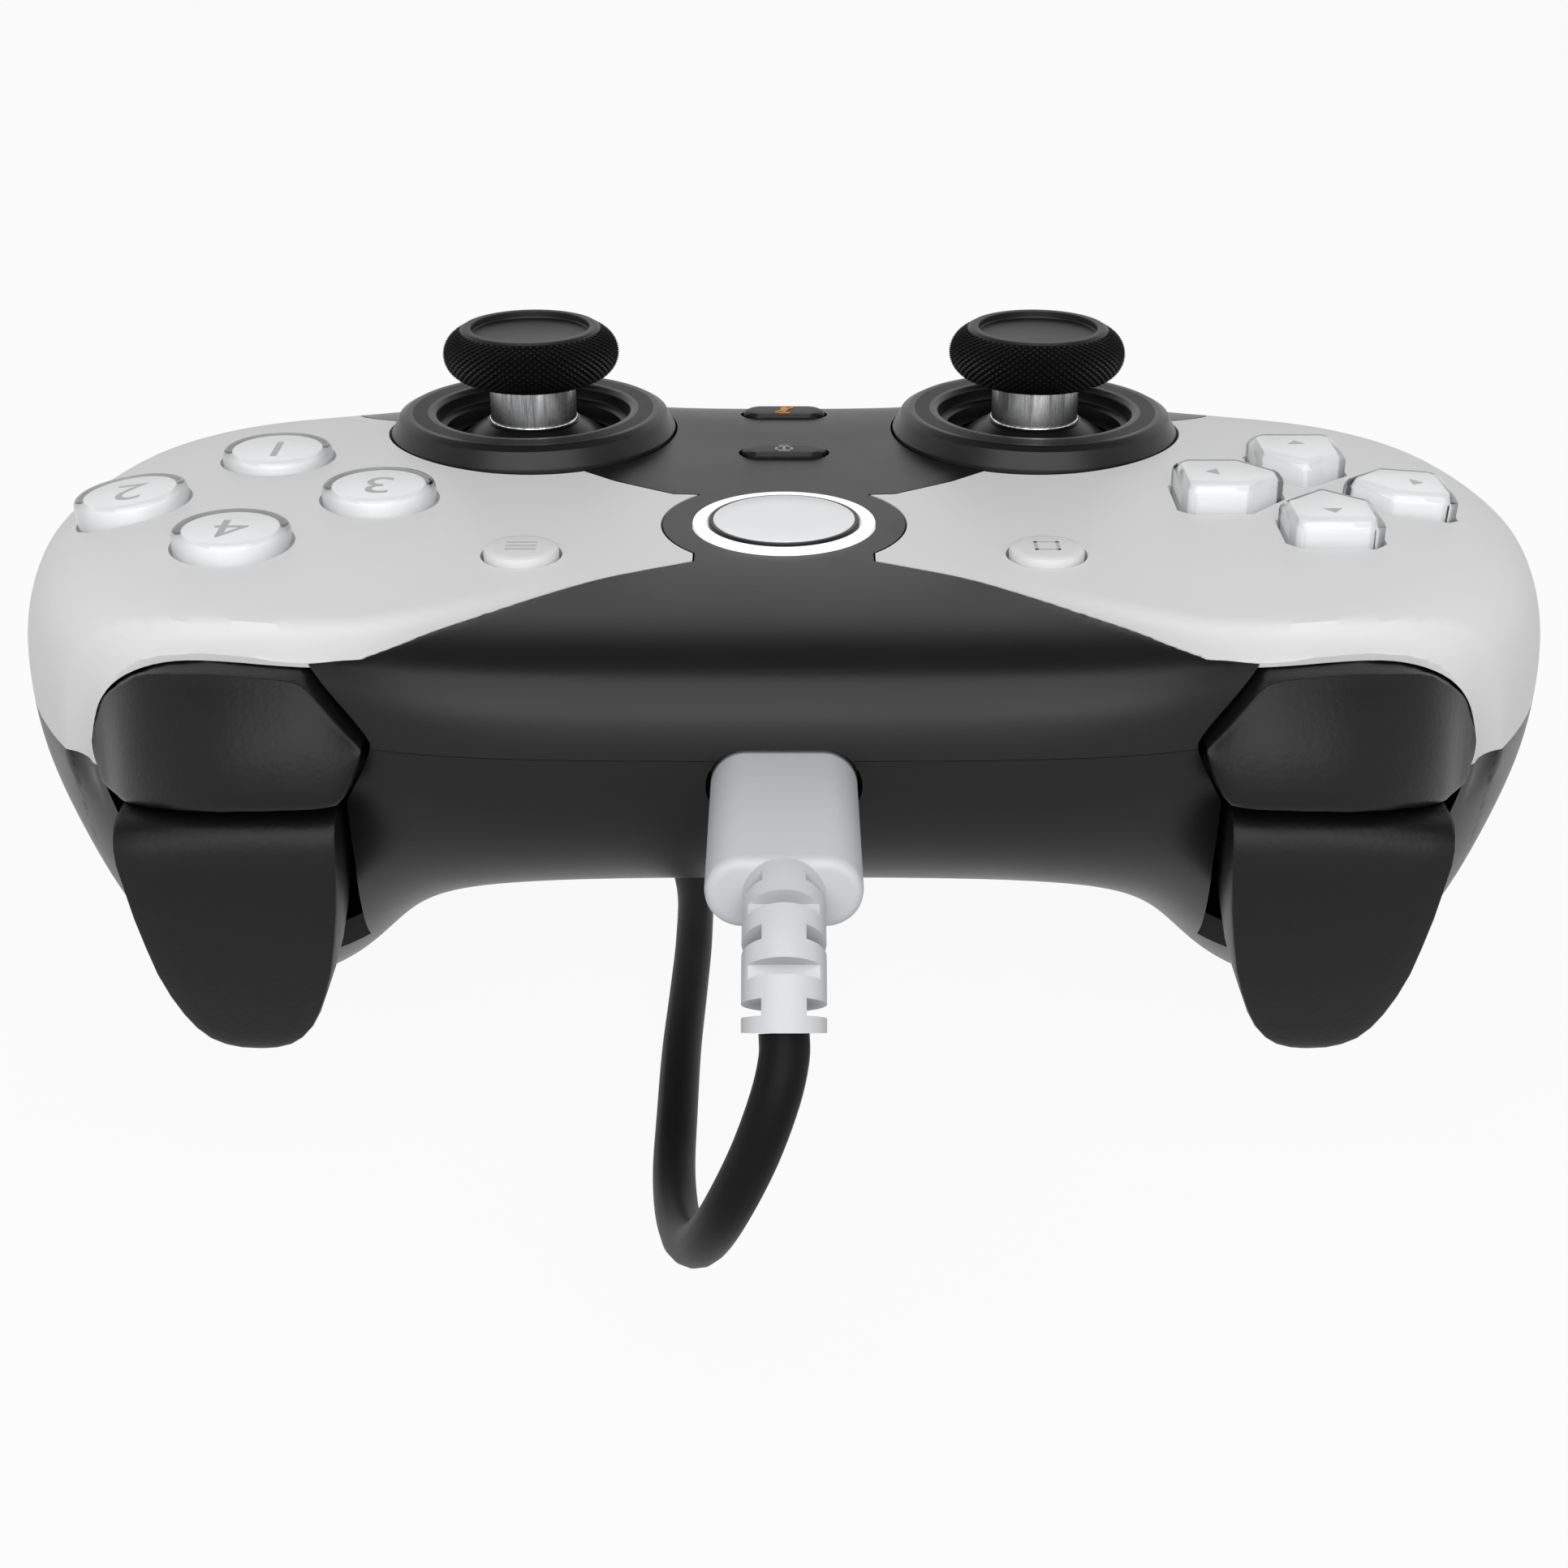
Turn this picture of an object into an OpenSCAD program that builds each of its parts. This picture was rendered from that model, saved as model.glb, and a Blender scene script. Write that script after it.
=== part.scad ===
// Wired gamepad: millimetres, +Z up, the player sits on the +Y side, the cable leaves on the -Y side.
// The origin lies on the table, under the middle of the body.

/* [Body] */
// Width over both grips
body_w = 157; // [152:1:166]
// Depth from the front bulge to the grip ends
body_d = 105.5; // [103:0.5:110]
// Height of the flat face above the table
face_z = 53; // [51:0.5:57]
// Wall of the shells
wall = 2; // [1.6:0.1:2.4]
// Open joint line between two shells
seam_gap = 0.2; // [0.1:0.05:0.3]
// Height of the joint line below the face, at the front
seam_drop = 9.5; // [8:0.5:11]

/* [Sticks] */
// Distance of each stick from the middle
stick_x = 27.2; // [26:0.2:29]
// Place of the sticks towards the player
stick_y = 12.4; // [11:0.2:14]
// Radius of the collar at the face
collar_r = 15.4; // [14.8:0.1:16]
// Height of the collar above the face
collar_h = 2.1; // [1.8:0.1:2.3]
// Radius of the flat top of the collar
collar_top_r = 14; // [13:0.1:14.4]
// Radius of the mouth of the collar
mouth_r = 10.7; // [10.4:0.1:11.5]
// Depth of the tilt centre below the face
pivot_drop = 9; // [8.6:0.1:9.4]
// Radius of the dome skirt
dome_r = 12; // [11.6:0.1:12.2]
// Radius of the metal stem
stem_r = 4.8; // [4.4:0.1:5.2]
// Radius of the knurled cap
cap_r = 9.5; // [9:0.1:10]
// Height of the cap's rim above the face
cap_top = 12.2; // [11.8:0.1:13]

/* [Buttons] */
// Distance of the two clusters from the sides
cluster_inset = 25.5; // [24.5:0.5:26.5]
// Place of the clusters towards the player
cluster_y = -13; // [-14:0.5:-12]
// Radius of a face button
button_r = 5.7; // [5.2:0.1:5.9]
// Distance of a face button from the middle of its cluster
button_pitch = 12.4; // [12:0.1:12.8]
// Height of a face button above the face
button_h = 2; // [1.6:0.1:2.6]
// Travel of a face button
button_travel = 1.2; // [0.8:0.1:1.4]
// Distance of a direction key from the middle of its cluster
key_pitch = 8.9; // [8.7:0.1:9.4]
// Width of a direction key
key_w = 9.2; // [8.6:0.1:9.4]
// Length of a direction key
key_l = 10.6; // [10:0.1:11]
// Height of a direction key above the face
key_h = 2.8; // [2.2:0.1:3.2]
// Place of the home button towards the player
home_y = -17.5; // [-18.5:0.5:-16.5]
// Radius of the home button
home_r = 7.3; // [6.8:0.1:7.5]
// Outer radius of the light ring
light_r = 9; // [8.8:0.1:9.4]
// Distance of the menu and view buttons from the middle
menu_x = 25; // [24:0.5:26]
// Place of the menu and view buttons
menu_y = -26.3; // [-27:0.1:-25]
// Radius of the menu and view buttons
menu_r = 3.6; // [3.2:0.1:3.8]
// Place of the share button
share_y = 4.3; // [3.5:0.1:5]
// Place of the mute button
mute_y = 18.4; // [17.5:0.1:19]
// Width of the share and mute buttons
pill_w = 9; // [8:0.2:10]
// Depth of the share and mute buttons
pill_d = 3.6; // [3.2:0.1:4]
// Travel of the small buttons
small_travel = 0.6; // [0.4:0.1:0.7]

/* [Shoulders] */
// Width of a trigger
trigger_w = 20; // [19.2:0.1:20.4]
// Distance of a trigger's outer edge from the side
trigger_inset = 19.7; // [19.3:0.1:20.5]
// Height of a trigger's tip above the table
trigger_tip = 11.4; // [11:0.2:13]
// Radius of the trigger and bumper pins
pin_r = 1.5; // [1.2:0.1:1.7]
// Running clearance round a pin or shaft
run_gap = 0.05; // [0.03:0.01:0.09]
// Clearance round every moving piece
play = 0.3; // [0.25:0.05:0.4]

/* [Inside] */
// Depth of the main board's top below the face
board_drop = 13.8; // [13.5:0.1:14.2]
// Thickness of the boards
board_t = 1.6; // [1.2:0.1:1.8]
// Radius of a rumble motor
motor_r = 8; // [7:0.25:8.5]
// Radius of the headset plug bore
jack_r = 1.8; // [1.75:0.05:1.9]
// Radius of a shell screw
screw_r = 1.2; // [1:0.1:1.3]

/* [Cable] */
// Diameter of the cable
cord_d = 4; // [3.6:0.1:4.2]
// Width of the plug
plug_w = 12.9; // [12:0.1:13.5]
// Height of the plug
plug_h = 6.3; // [6:0.1:6.8]
// Depth of the plug's middle below the face
plug_drop = 12; // [11.5:0.1:12.5]
// Turns in each full layer of the coil
coil_turns = 4.475; // [4:0.025:4.8]
// Radius of the innermost turn
coil_in = 13.6; // [13:0.1:14.4]

/* [Hidden] */
$fn = 48;
far = 200;
eps = 0.01;

// Colours of the finishes
black = "#1c1c1d";
soft_black = "#262627";
pale = "#d6d6d6";
clear = "#eeeeee";
steel = "#b4b4b6";

// Stretch of the control sections, which are written for a body of 105.5 by 53
stretch_y = body_d / 105.5;
stretch_z = face_z / 53;
half_w = body_w / 2;
cluster_x = half_w - cluster_inset;
trigger_out = half_w - trigger_inset;
trigger_in = trigger_out - trigger_w;
front_y = -52.5 * stretch_y;

// Control sections of one half: distance from the middle, then twelve corners in y and z,
// from the top front edge over the back and the bottom to the front
middle = [[-41, 53], [-14, 53.5], [10, 54.3], [26, 53.6], [29, 46], [27, 32],
    [16, 23.5], [-8, 23], [-30, 23], [-46, 27], [-53.5, 38], [-52, 51]];
sections = [
    [0, middle],
    [14, middle],
    [27, [[-41, 53], [-14, 53.5], [14, 54.3], [30, 53.6], [35, 46], [33, 31],
        [20, 23.5], [-6, 22.5], [-30, 22.5], [-46, 26.5], [-53, 38], [-51.5, 51]]],
    [half_w - 42.5, [[-40, 53], [-13, 53.5], [16, 54.3], [33, 52.1], [40, 42], [38, 27],
        [25, 18], [0, 15], [-26, 17], [-43, 24], [-51, 37], [-50.5, 51]]],
    [half_w - 35.5, [[-39, 53], [-12, 53.5], [17, 54.4], [36.2, 49.5], [48, 34.2], [47, 18],
        [33, 7], [7, 2], [-18, 5], [-37, 15], [-47, 34], [-48.5, 50.5]]],
    [half_w - 26.5, [[-38, 53], [-12, 53.7], [16.2, 54.5], [37.4, 47.7], [54, 30.2], [55, 13],
        [42, 1.5], [16, -2.5], [-12, -1.5], [-34, 9], [-44.5, 32], [-47, 50.5]]],
    [half_w - 18.5, [[-34, 53.2], [-11, 53.9], [15.5, 54], [37.2, 46.7], [53.5, 30.2], [55, 13],
        [42.5, 0.5], [17, -2.5], [-9, -2], [-30, 9], [-41, 32], [-43, 49.5]]],
    [half_w - 11.8, [[-28, 52.2], [-9, 53.2], [15.5, 52.7], [35.7, 44.1], [50, 29.2], [51.5, 14],
        [41, 3], [17, 0], [-8, 1.5], [-25, 11], [-35.5, 31], [-37, 48]]],
    [half_w - 7, [[-22, 50.5], [-7, 51.8], [14.5, 50.4], [33.5, 42], [45, 28.7], [46.5, 17],
        [38, 10.5], [16, 9], [-5, 11.5], [-19, 18], [-29, 31], [-30, 46]]],
    [half_w - 3.4, [[-14, 48], [-4, 49.5], [13, 47.4], [29.5, 39.5], [40, 28.5], [41, 20],
        [34, 18], [15, 17], [-2, 19], [-13, 23.5], [-21, 31], [-22, 43.5]]],
    [half_w - 1, [[-8, 44.5], [1, 46], [12, 43.8], [24, 37], [31.5, 29.5], [32.5, 24.5],
        [27, 25], [13, 24.5], [2, 26], [-6, 28.5], [-12, 33], [-13, 40]]],
    [half_w, [[-2, 40], [2, 41], [7, 40], [12, 37.5], [16, 35], [17, 32],
        [14, 31], [8, 30.5], [2, 31.5], [-2, 33], [-4, 35.5], [-4, 38]]]
];
steps_x = 2;
steps_round = 2;

// Smooth surface through the control sections: cubic blends across and round the body
function weights(t) = [pow(1 - t, 3), 3 * pow(t, 3) - 6 * pow(t, 2) + 4,
    -3 * pow(t, 3) + 3 * pow(t, 2) + 3 * t + 1, pow(t, 3)] / 6;
function loop3(s, side) = [for (p = s[1]) [side * s[0], p[0] * stretch_y, p[1] * stretch_z]];
last = len(sections) - 1;
net = concat(
    [loop3(sections[last], -1)],
    [for (i = [last : -1 : 1]) loop3(sections[i], -1)],
    [for (s = sections) loop3(s, 1)],
    [loop3(sections[last], 1)]);
function across(i, t) = let (w = weights(t))
    net[i - 1] * w[0] + net[i] * w[1] + net[i + 1] * w[2] + net[i + 2] * w[3];
function around(row) = let (m = len(row)) [for (j = [0 : m - 1], a = [0 : steps_round - 1])
    let (w = weights(a / steps_round))
    row[(j + m - 1) % m] * w[0] + row[j] * w[1] + row[(j + 1) % m] * w[2] + row[(j + 2) % m] * w[3]];
body_rows = [for (i = [1 : len(net) - 3], a = [0 : steps_x - 1]) around(across(i, a / steps_x))];
body_grid = concat(body_rows, [around(across(len(net) - 3, 1))]);
row_n = len(body_grid);
ring_n = len(body_grid[0]);
function normal(i, j) = let (
    along = body_grid[min(i + 1, row_n - 1)][j] - body_grid[max(i - 1, 0)][j],
    round_it = body_grid[i][(j + 1) % ring_n] - body_grid[i][(j + ring_n - 1) % ring_n],
    c = cross(along, round_it)) c / norm(c);

module body_solid(inset) {
    side = sign(cross(body_grid[8][0] - body_grid[7][0], body_grid[7][1] - body_grid[7][0])[2]);
    points = [for (i = [0 : row_n - 1], j = [0 : ring_n - 1])
        let (edge = i == 0 ? [1, 0, 0] : i == row_n - 1 ? [-1, 0, 0] : -side * normal(i, j))
        body_grid[i][j] + inset * edge];
    quads = [for (i = [0 : row_n - 2], j = [0 : ring_n - 1]) let (k = (j + 1) % ring_n)
        [i * ring_n + j, (i + 1) * ring_n + j, (i + 1) * ring_n + k, i * ring_n + k]];
    triangles = [for (q = quads, h = [0, 1]) h == 0 ? [q[0], q[2], q[1]] : [q[0], q[3], q[2]]];
    caps = [[for (j = [ring_n - 1 : -1 : 0]) j],
        [for (j = [0 : ring_n - 1]) (row_n - 1) * ring_n + j]];
    polyhedron(points, concat(triangles, caps), convexity = 6);
}

// A free-form piece is resolved as one skin
module skinned() {
    resize([0, 0, 0])
        children();
}

module cavity() {
    intersection() {
        body_solid(wall);
        translate([-far, -far, wall]) cube(2 * far);
    }
}

// Both shells in one, flat where it rests on the table
module hollow_body() {
    difference() {
        body_solid(0);
        cavity();
        translate([-far, -far, -2 * far]) cube(2 * far);
    }
}

// Posts and cradles stay inside the shells
module within_body() {
    intersection() {
        body_solid(wall / 2);
        union() children();
    }
}

// Joint line between top and bottom, seen from the side
seam_z = face_z - seam_drop;
side_seam_z = face_z - 17;
grip_seam = [[33 * stretch_y, 33.5 * stretch_z], [56 * stretch_y, 17 * stretch_z], [far, -85]];
centre_half = trigger_in + 1.2;
module seam_prism(from, to, front_z, raise) {
    outline = concat([[-far, front_z], [20, front_z]], grip_seam);
    lifted = [for (p = outline) p + [0, raise]];
    translate([from, 0, 0]) rotate([90, 0, 90])
        linear_extrude(to - from) polygon(concat(lifted, [[far, far], [-far, far]]));
}
module above_seam(raise) {
    seam_prism(-centre_half - eps, centre_half + eps, seam_z, raise);
    seam_prism(centre_half, far, side_seam_z, raise);
    seam_prism(-far, -centre_half, side_seam_z, raise);
}

// Plan of the wing on the +X side
neck_r = 12;
wing_plan = [[8.6, home_y - 10.4], [12.6, -29.9], [17.1, -32.2], [22.7, -36.6], [26.8, -40.1],
    [trigger_in - 7.9, -43], [trigger_in - 4.6, -45.3], [trigger_in - 1.2, -46.4],
    [trigger_in + 3.7, -45.9], [trigger_in + 3.7, -far],
    [far, -far], [far, far], [44, far], [45, 42], [49, 29], [47, 19], [40, 15],
    [stick_x, stick_y], [21.4, -1.2], [17.2, -5], [11.2, home_y + 8.6], [8.6, home_y + 8.4]];
module wing_area() {
    difference() {
        polygon(wing_plan);
        translate([0, home_y]) circle(neck_r);
        translate([stick_x, stick_y]) circle(collar_r + 0.2);
    }
}

// Opening in the front for the bumper and the trigger
pocket_y = front_y + 19;
bumper_top = face_z - 3.2;
bumper_low = face_z - 14.2;
pocket_plan = [[trigger_in - 1.2, -far], [trigger_in - 1.2, bumper_low + 0.2],
    [trigger_in - 2.3, bumper_low + 4.6], [trigger_in - 2.1, bumper_low + 5.6],
    [trigger_in + 0.3, bumper_top - 2.1], [trigger_in + 3.6, bumper_top + 0.3],
    [trigger_out - 6.8, bumper_top + 0.3], [trigger_out - 2.3, bumper_top - 0.6],
    [trigger_out + 1.9, bumper_top - 2.9], [trigger_out + 4.3, bumper_top - 5.9],
    [trigger_out + 5.5, bumper_top - 9], [trigger_out + 6.4, bumper_low - 1.4],
    [trigger_out + 5.2, bumper_low - 5.3], [trigger_out + 3.6, bumper_low - 11.8],
    [trigger_out + 1.6, bumper_low - 20], [trigger_out + 1.6, -far]];
module pocket() {
    for (side = [-1, 1])
        mirror([side < 0 ? 1 : 0, 0, 0])
            translate([0, pocket_y, 0]) rotate([90, 0, 0]) linear_extrude(far) polygon(pocket_plan);
}

// Plain shapes used more than once
module pill(w, d) {
    square([w - d, d], center = true);
    for (side = [-1, 1])
        translate([side * (w - d) / 2, 0]) circle(d = d);
}
module mirrored(side) {
    mirror([side < 0 ? 1 : 0, 0, 0])
        children();
}
module lying_cylinder(r, from, to) {
    translate([from, 0, 0]) rotate([0, 90, 0]) cylinder(r = r, h = to - from);
}
module disc(low, high, r, sides = 48) {
    translate([0, 0, low]) cylinder(r = r, h = high - low, $fn = sides);
}

// Places of the buttons: offset from the cluster, drop below the face, lean outwards
round_off_drop = 0.6;
round_off_lean = 7;
button_places = [
    [[0, button_pitch], -0.9, 0],
    [[-button_pitch, 0], round_off_drop, -round_off_lean],
    [[button_pitch, 0], -0.55, 0],
    [[0, -button_pitch], -0.3, 0]];
key_lean = 4;
key_places = [
    [[0, -key_pitch], -0.4, 0, -90],
    [[0, key_pitch], -0.85, 0, 90],
    [[key_pitch, 0], 0, key_lean, 0],
    [[-key_pitch, 0], -0.55, 0, 180]];
module at_button(i) {
    p = button_places[i];
    translate([-cluster_x + p[0][0], cluster_y + p[0][1], face_z - p[1]]) rotate([0, p[2], 0]) children();
}
module at_key(i) {
    p = key_places[i];
    translate([cluster_x + p[0][0], cluster_y + p[0][1], face_z - p[1]])
        rotate([0, p[2], 0]) rotate([0, 0, p[3]]) children();
}
function key_outline(grow) = let (l = key_l / 2 + grow, w = key_w / 2 + grow, cut = 1.15)
    [[l - cut, w], [l, w - cut], [l, cut - w], [l - cut, -w],
    [0.8 * key_w / 2 - l, -w], [-l, -0.6], [-l, 0.6], [0.8 * key_w / 2 - l, w]];

// Shells
post_r = 2;
post_sides = 16;
button_board_drop = 8.9;
post_offset = 9.5;
module wing_blank() {
    difference() {
        union() {
            intersection() {
                hollow_body();
                above_seam(0);
                linear_extrude(far) offset(delta = -seam_gap / 2) wing_area();
            }
            within_body() {
                for (dx = [-1, 1], dy = [-1, 1])
                    translate([cluster_x + dx * post_offset, cluster_y + dy * post_offset, 0])
                        disc(face_z - button_board_drop, face_z, post_r, post_sides);
                translate([grip_screw.x, grip_screw.y, 0])
                    disc(grip_post_z + seam_gap, face_z, screw_r + 1.8, post_sides);
            }
        }
        pocket();
        translate([grip_screw.x, grip_screw.y, 0]) disc(0, grip_post_z + 8, screw_r + 0.1, post_sides);
        translate([menu_x, menu_y, 0]) disc(0, far, menu_r + play);
    }
}
module left_wing() {
    color(pale) skinned() difference() {
        wing_blank();
        for (i = [0 : 3])
            at_key(i) translate([0, 0, -far / 20]) linear_extrude(far / 10) polygon(key_outline(play));
    }
}
module right_wing() {
    color(pale) skinned() difference() {
        mirror([1, 0, 0]) wing_blank();
        for (i = [0 : 3])
            at_button(i) disc(-far / 20, far / 20, button_r + play);
    }
}
module plug_recess() {
    translate([0, front_y + 6, face_z - plug_drop]) rotate([90, 0, 0])
        linear_extrude(far) pill(plug_w + 1.4, plug_h + 1.4);
}
middle_screw = [10.4, 1.2];
middle_post_z = face_z - 10;
grip_screw = [half_w - 22.5, 30 * stretch_y];
grip_post_z = 20;
module center_cover() {
    color(black) skinned() difference() {
        union() {
            intersection() {
                hollow_body();
                above_seam(0);
                linear_extrude(far) difference() {
                    square(2 * far, center = true);
                    for (side = [-1, 1])
                        mirror([side < 0 ? 1 : 0, 0]) offset(delta = seam_gap / 2) wing_area();
                }
            }
            within_body()
                for (side = [-1, 1])
                    translate([side * middle_screw.x, middle_screw.y, 0])
                        disc(middle_post_z + seam_gap, face_z, screw_r + 1.8, post_sides);
        }
        pocket();
        plug_recess();
        for (side = [-1, 1]) {
            translate([side * middle_screw.x, middle_screw.y, 0])
                disc(0, middle_post_z + 6, screw_r + 0.1, post_sides);
            translate([side * stick_x, stick_y, 0]) disc(0, far, collar_r + 0.2);
        }
        translate([0, home_y, 0]) disc(0, far, light_r + 0.1);
        for (y = [share_y, mute_y])
            translate([0, y, 0]) linear_extrude(far) pill(pill_w + 2 * play, pill_d + 2 * play);
    }
}
motor_at = [half_w - 26.5, 8, 15];
motor_l = 12;
board_posts = [[36, 3], [38, -20], [15, -38]];
module bottom_shell() {
    color(soft_black) skinned() difference() {
        union() {
            difference() {
                hollow_body();
                above_seam(-seam_gap);
            }
            within_body()
                for (side = [-1, 1]) mirrored(side) {
                    for (p = board_posts)
                        translate([p.x, p.y, 0])
                            disc(0, face_z - board_drop - board_t - 0.05, 2.4, post_sides);
                    translate([middle_screw.x, middle_screw.y, 0])
                        disc(0, middle_post_z, screw_r + 2.6, post_sides);
                    translate([grip_screw.x, grip_screw.y, 0])
                        disc(0, grip_post_z, screw_r + 2.6, post_sides);
                    for (x = [1.5, motor_l - 3])
                        translate([motor_at.x + x, motor_at.y, 0]) motor_cradle();
                }
        }
        pocket();
        plug_recess();
        for (side = [-1, 1]) mirrored(side) {
            translate([middle_screw.x, middle_screw.y, 0]) {
                disc(0, far, screw_r + 0.25, post_sides);
                disc(0, middle_post_z - 12, screw_r + 1.5, post_sides);
            }
            translate([grip_screw.x, grip_screw.y, 0]) {
                disc(-1, far, screw_r + 0.25, post_sides);
                disc(-1, grip_post_z - 12, screw_r + 1.5, post_sides);
            }
        }
        translate([0, 0, face_z - jack_drop]) rotate([-90, 0, 0]) disc(0, far, jack_nose_r + 0.15);
    }
}
module motor_cradle() {
    difference() {
        translate([0, -motor_r - 1.5, 0]) cube([1.5, 2 * motor_r + 3, motor_at.z]);
        translate([0, 0, motor_at.z]) lying_cylinder(motor_r + 0.15, -1, 3);
    }
}
module shell_screws() {
    color(steel)
        for (side = [-1, 1]) mirrored(side) {
            translate([middle_screw.x, middle_screw.y, middle_post_z - 12]) screw(16);
            translate([grip_screw.x, grip_screw.y, grip_post_z - 12]) screw(18);
        }
}
module screw(l) {
    difference() {
        union() {
            disc(-1.6, -0.05, screw_r + 1.2);
            disc(-0.1, l, screw_r);
        }
        for (turn = [0, 90])
            rotate([0, 0, turn]) translate([-1.2, -0.25, -2]) cube([2.4, 0.5, 1.2]);
    }
}

// Sticks, drawn from their tilt centre
module at_stick(side) {
    translate([side * stick_x, stick_y, face_z - pivot_drop]) children();
}
dome_t = 1;
dome_plate = sqrt(pow(dome_r, 2) - pow(stem_r - 0.2, 2));
shaft_r = 1.5;
rim = pivot_drop + cap_top;
cap_h = 5.7;
collar_foot = 1;
collar_top = collar_h + collar_foot;
module stick_collar(side) {
    clear_r = dome_r + 0.4;
    low = -wall - 1.8;
    under = [for (a = [48 : 6 : 66]) [clear_r * sin(a), clear_r * cos(a) - pivot_drop]];
    color(black) translate([side * stick_x, stick_y, face_z]) rotate_extrude() polygon(concat(
        [[collar_r, low], [collar_r, collar_foot], [collar_top_r, collar_top], [mouth_r + 0.3, collar_top],
        [mouth_r, collar_top - 0.4], [clear_r * sin(48) + 0.2, -0.3]], under,
        [[clear_r * sin(66) + 0.3, low]]));
}
module stick_dome(side) {
    outer = [for (a = [asin((stem_r - 0.2) / dome_r) : 4 : 66]) dome_r * [sin(a), cos(a)]];
    inner_r = dome_r - dome_t;
    inner = [for (a = [66 : -4 : 24]) inner_r * [sin(a), cos(a)]];
    plate = dome_plate - dome_t;
    color(black) at_stick(side) rotate_extrude() polygon(concat(outer, inner,
        [[shaft_r + run_gap, plate], [shaft_r + run_gap, dome_plate]]));
}
module stick_stem(side) {
    color(steel) at_stick(side) rotate_extrude() polygon([[0, -2.8], [shaft_r, -2.8],
        [shaft_r, dome_plate + 0.05], [stem_r, dome_plate + 0.05], [stem_r, rim - cap_h - 0.05],
        [3, rim - cap_h - 0.05], [3, rim - 2.5], [0, rim - 2.5]]);
}
module stick_cap(side) {
    tube = [cap_r - 6.2, cap_h / 2];
    bulge = [for (a = [-75 : 11 : 68]) [6.2 + tube.x * cos(a), rim - tube.y + tube.y * sin(a)]];
    color(black) at_stick(side) rotate_extrude() polygon(concat([[3.05, rim - cap_h]], bulge,
        [[7, rim], [6.3, rim], [6.2, rim - 0.7], [0, rim - 1.1], [0, rim - 2.4], [3.05, rim - 2.4]]));
}
yoke_in = 7.6;
yoke_out = 10.4;
yoke_h = 2.6;
yoke_pin = 1.2;
pivot_pin = 1;
module_w = 14;
module stick_modules() {
    floor_z = pivot_drop - board_drop;
    color(steel)
        for (side = [-1, 1]) at_stick(side) difference() {
            translate([-module_w / 2, -module_w / 2, floor_z]) cube([module_w, module_w, 2.5 - floor_z]);
            translate([1 - module_w / 2, 1 - module_w / 2, floor_z + 1])
                cube([module_w - 2, module_w - 2, far]);
            lying_cylinder(yoke_pin + run_gap, -module_w, module_w);
        }
}
module yoke(side) {
    color("dimgray") at_stick(side) difference() {
        union() {
            translate([-yoke_out, -yoke_out, -yoke_h] / 2) cube([yoke_out, yoke_out, yoke_h]);
            lying_cylinder(yoke_pin, -module_w / 2 + 0.1, module_w / 2 - 0.1);
        }
        translate([-yoke_in, -yoke_in, -2 * yoke_h] / 2) cube([yoke_in, yoke_in, 2 * yoke_h]);
        rotate([0, 0, 90]) lying_cylinder(pivot_pin + run_gap, -yoke_out, yoke_out);
    }
}
module pivot(side) {
    color("gray") at_stick(side) difference() {
        union() {
            translate([-3.2, -3.4, -1.7]) cube([6.4, 6.8, 3.4]);
            rotate([0, 0, 90]) lying_cylinder(pivot_pin, 0.1 - yoke_out / 2, yoke_out / 2 - 0.1);
        }
        disc(-far, far, shaft_r + run_gap);
    }
}

// Buttons, drawn from the face
flange_top = -wall - 0.4;
cap_flange = flange_top - 0.4;
module face_cap(i) {
    color(clear, 0.6) at_button(i) rotate_extrude() polygon([[button_r - 1, cap_flange - 1],
        [button_r + 0.6, cap_flange - 1], [button_r + 0.5, cap_flange - 0.6], [button_r, cap_flange - 0.5],
        [button_r, button_h - 0.8], [button_r - 0.3, button_h - 0.25], [button_r - 0.9, button_h],
        [0, button_h + 0.1], [0, button_h - 0.8], [button_r - 1, button_h - 0.8]]);
}
module face_core(i) {
    color("white") at_button(i) disc(flange_top - 2.2, button_h - 0.85, button_r - 1.05);
}
module key(i) {
    color(clear, 0.6) at_key(i) {
        translate([0, 0, flange_top - 2])
            linear_extrude(2 - flange_top + key_h - 0.9) polygon(key_outline(0));
        translate([0, 0, flange_top - 1.2]) linear_extrude(0.75) polygon(key_outline(0.8));
        hull() {
            translate([0, 0, key_h - 1]) linear_extrude(0.2) polygon(key_outline(0));
            translate([0, 0, key_h - 0.1]) linear_extrude(0.1) polygon(key_outline(-0.9));
        }
    }
}
stem_low = -9.2;
switch_top = stem_low - small_travel - 0.3;
module round_button(r, top, flange_z) {
    rotate_extrude() polygon([[0, stem_low], [1.5, stem_low], [1.5, flange_z - 1], [r + 0.9, flange_z - 1],
        [r + 0.9, flange_z], [r, flange_z], [r, top - 0.4], [r - 0.4, top], [0, top + 0.1]]);
}
pill_flange = flange_top - 0.6;
pill_rise = 0.9;
module pill_button(y) {
    color(black) translate([0, y, face_z + pill_rise]) {
        translate([0, 0, pill_flange - 0.5]) linear_extrude(0.9 - pill_flange + 0.5) pill(pill_w, pill_d);
        translate([0, 0, pill_flange - 1]) linear_extrude(1) pill(pill_w + 1.8, pill_d);
        disc(stem_low - pill_rise, pill_flange - 0.5, 1.5);
    }
}
ring_low = -wall - 1.5;
module light_ring() {
    color("white") translate([0, home_y, face_z]) rotate_extrude() polygon([[home_r + play, ring_low],
        [light_r + 1.2, ring_low], [light_r + 1.2, -wall], [light_r, -wall], [light_r, 0.5],
        [light_r - 0.3, 0.65], [home_r + play, 0.65]]);
}
module home_button() {
    color("white") translate([0, home_y, face_z]) round_button(home_r, 0.9, ring_low - 0.4);
}
module menu_button(side) {
    color(pale) translate([side * menu_x, menu_y, face_z]) round_button(menu_r, 1.05, flange_top);
}

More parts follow.
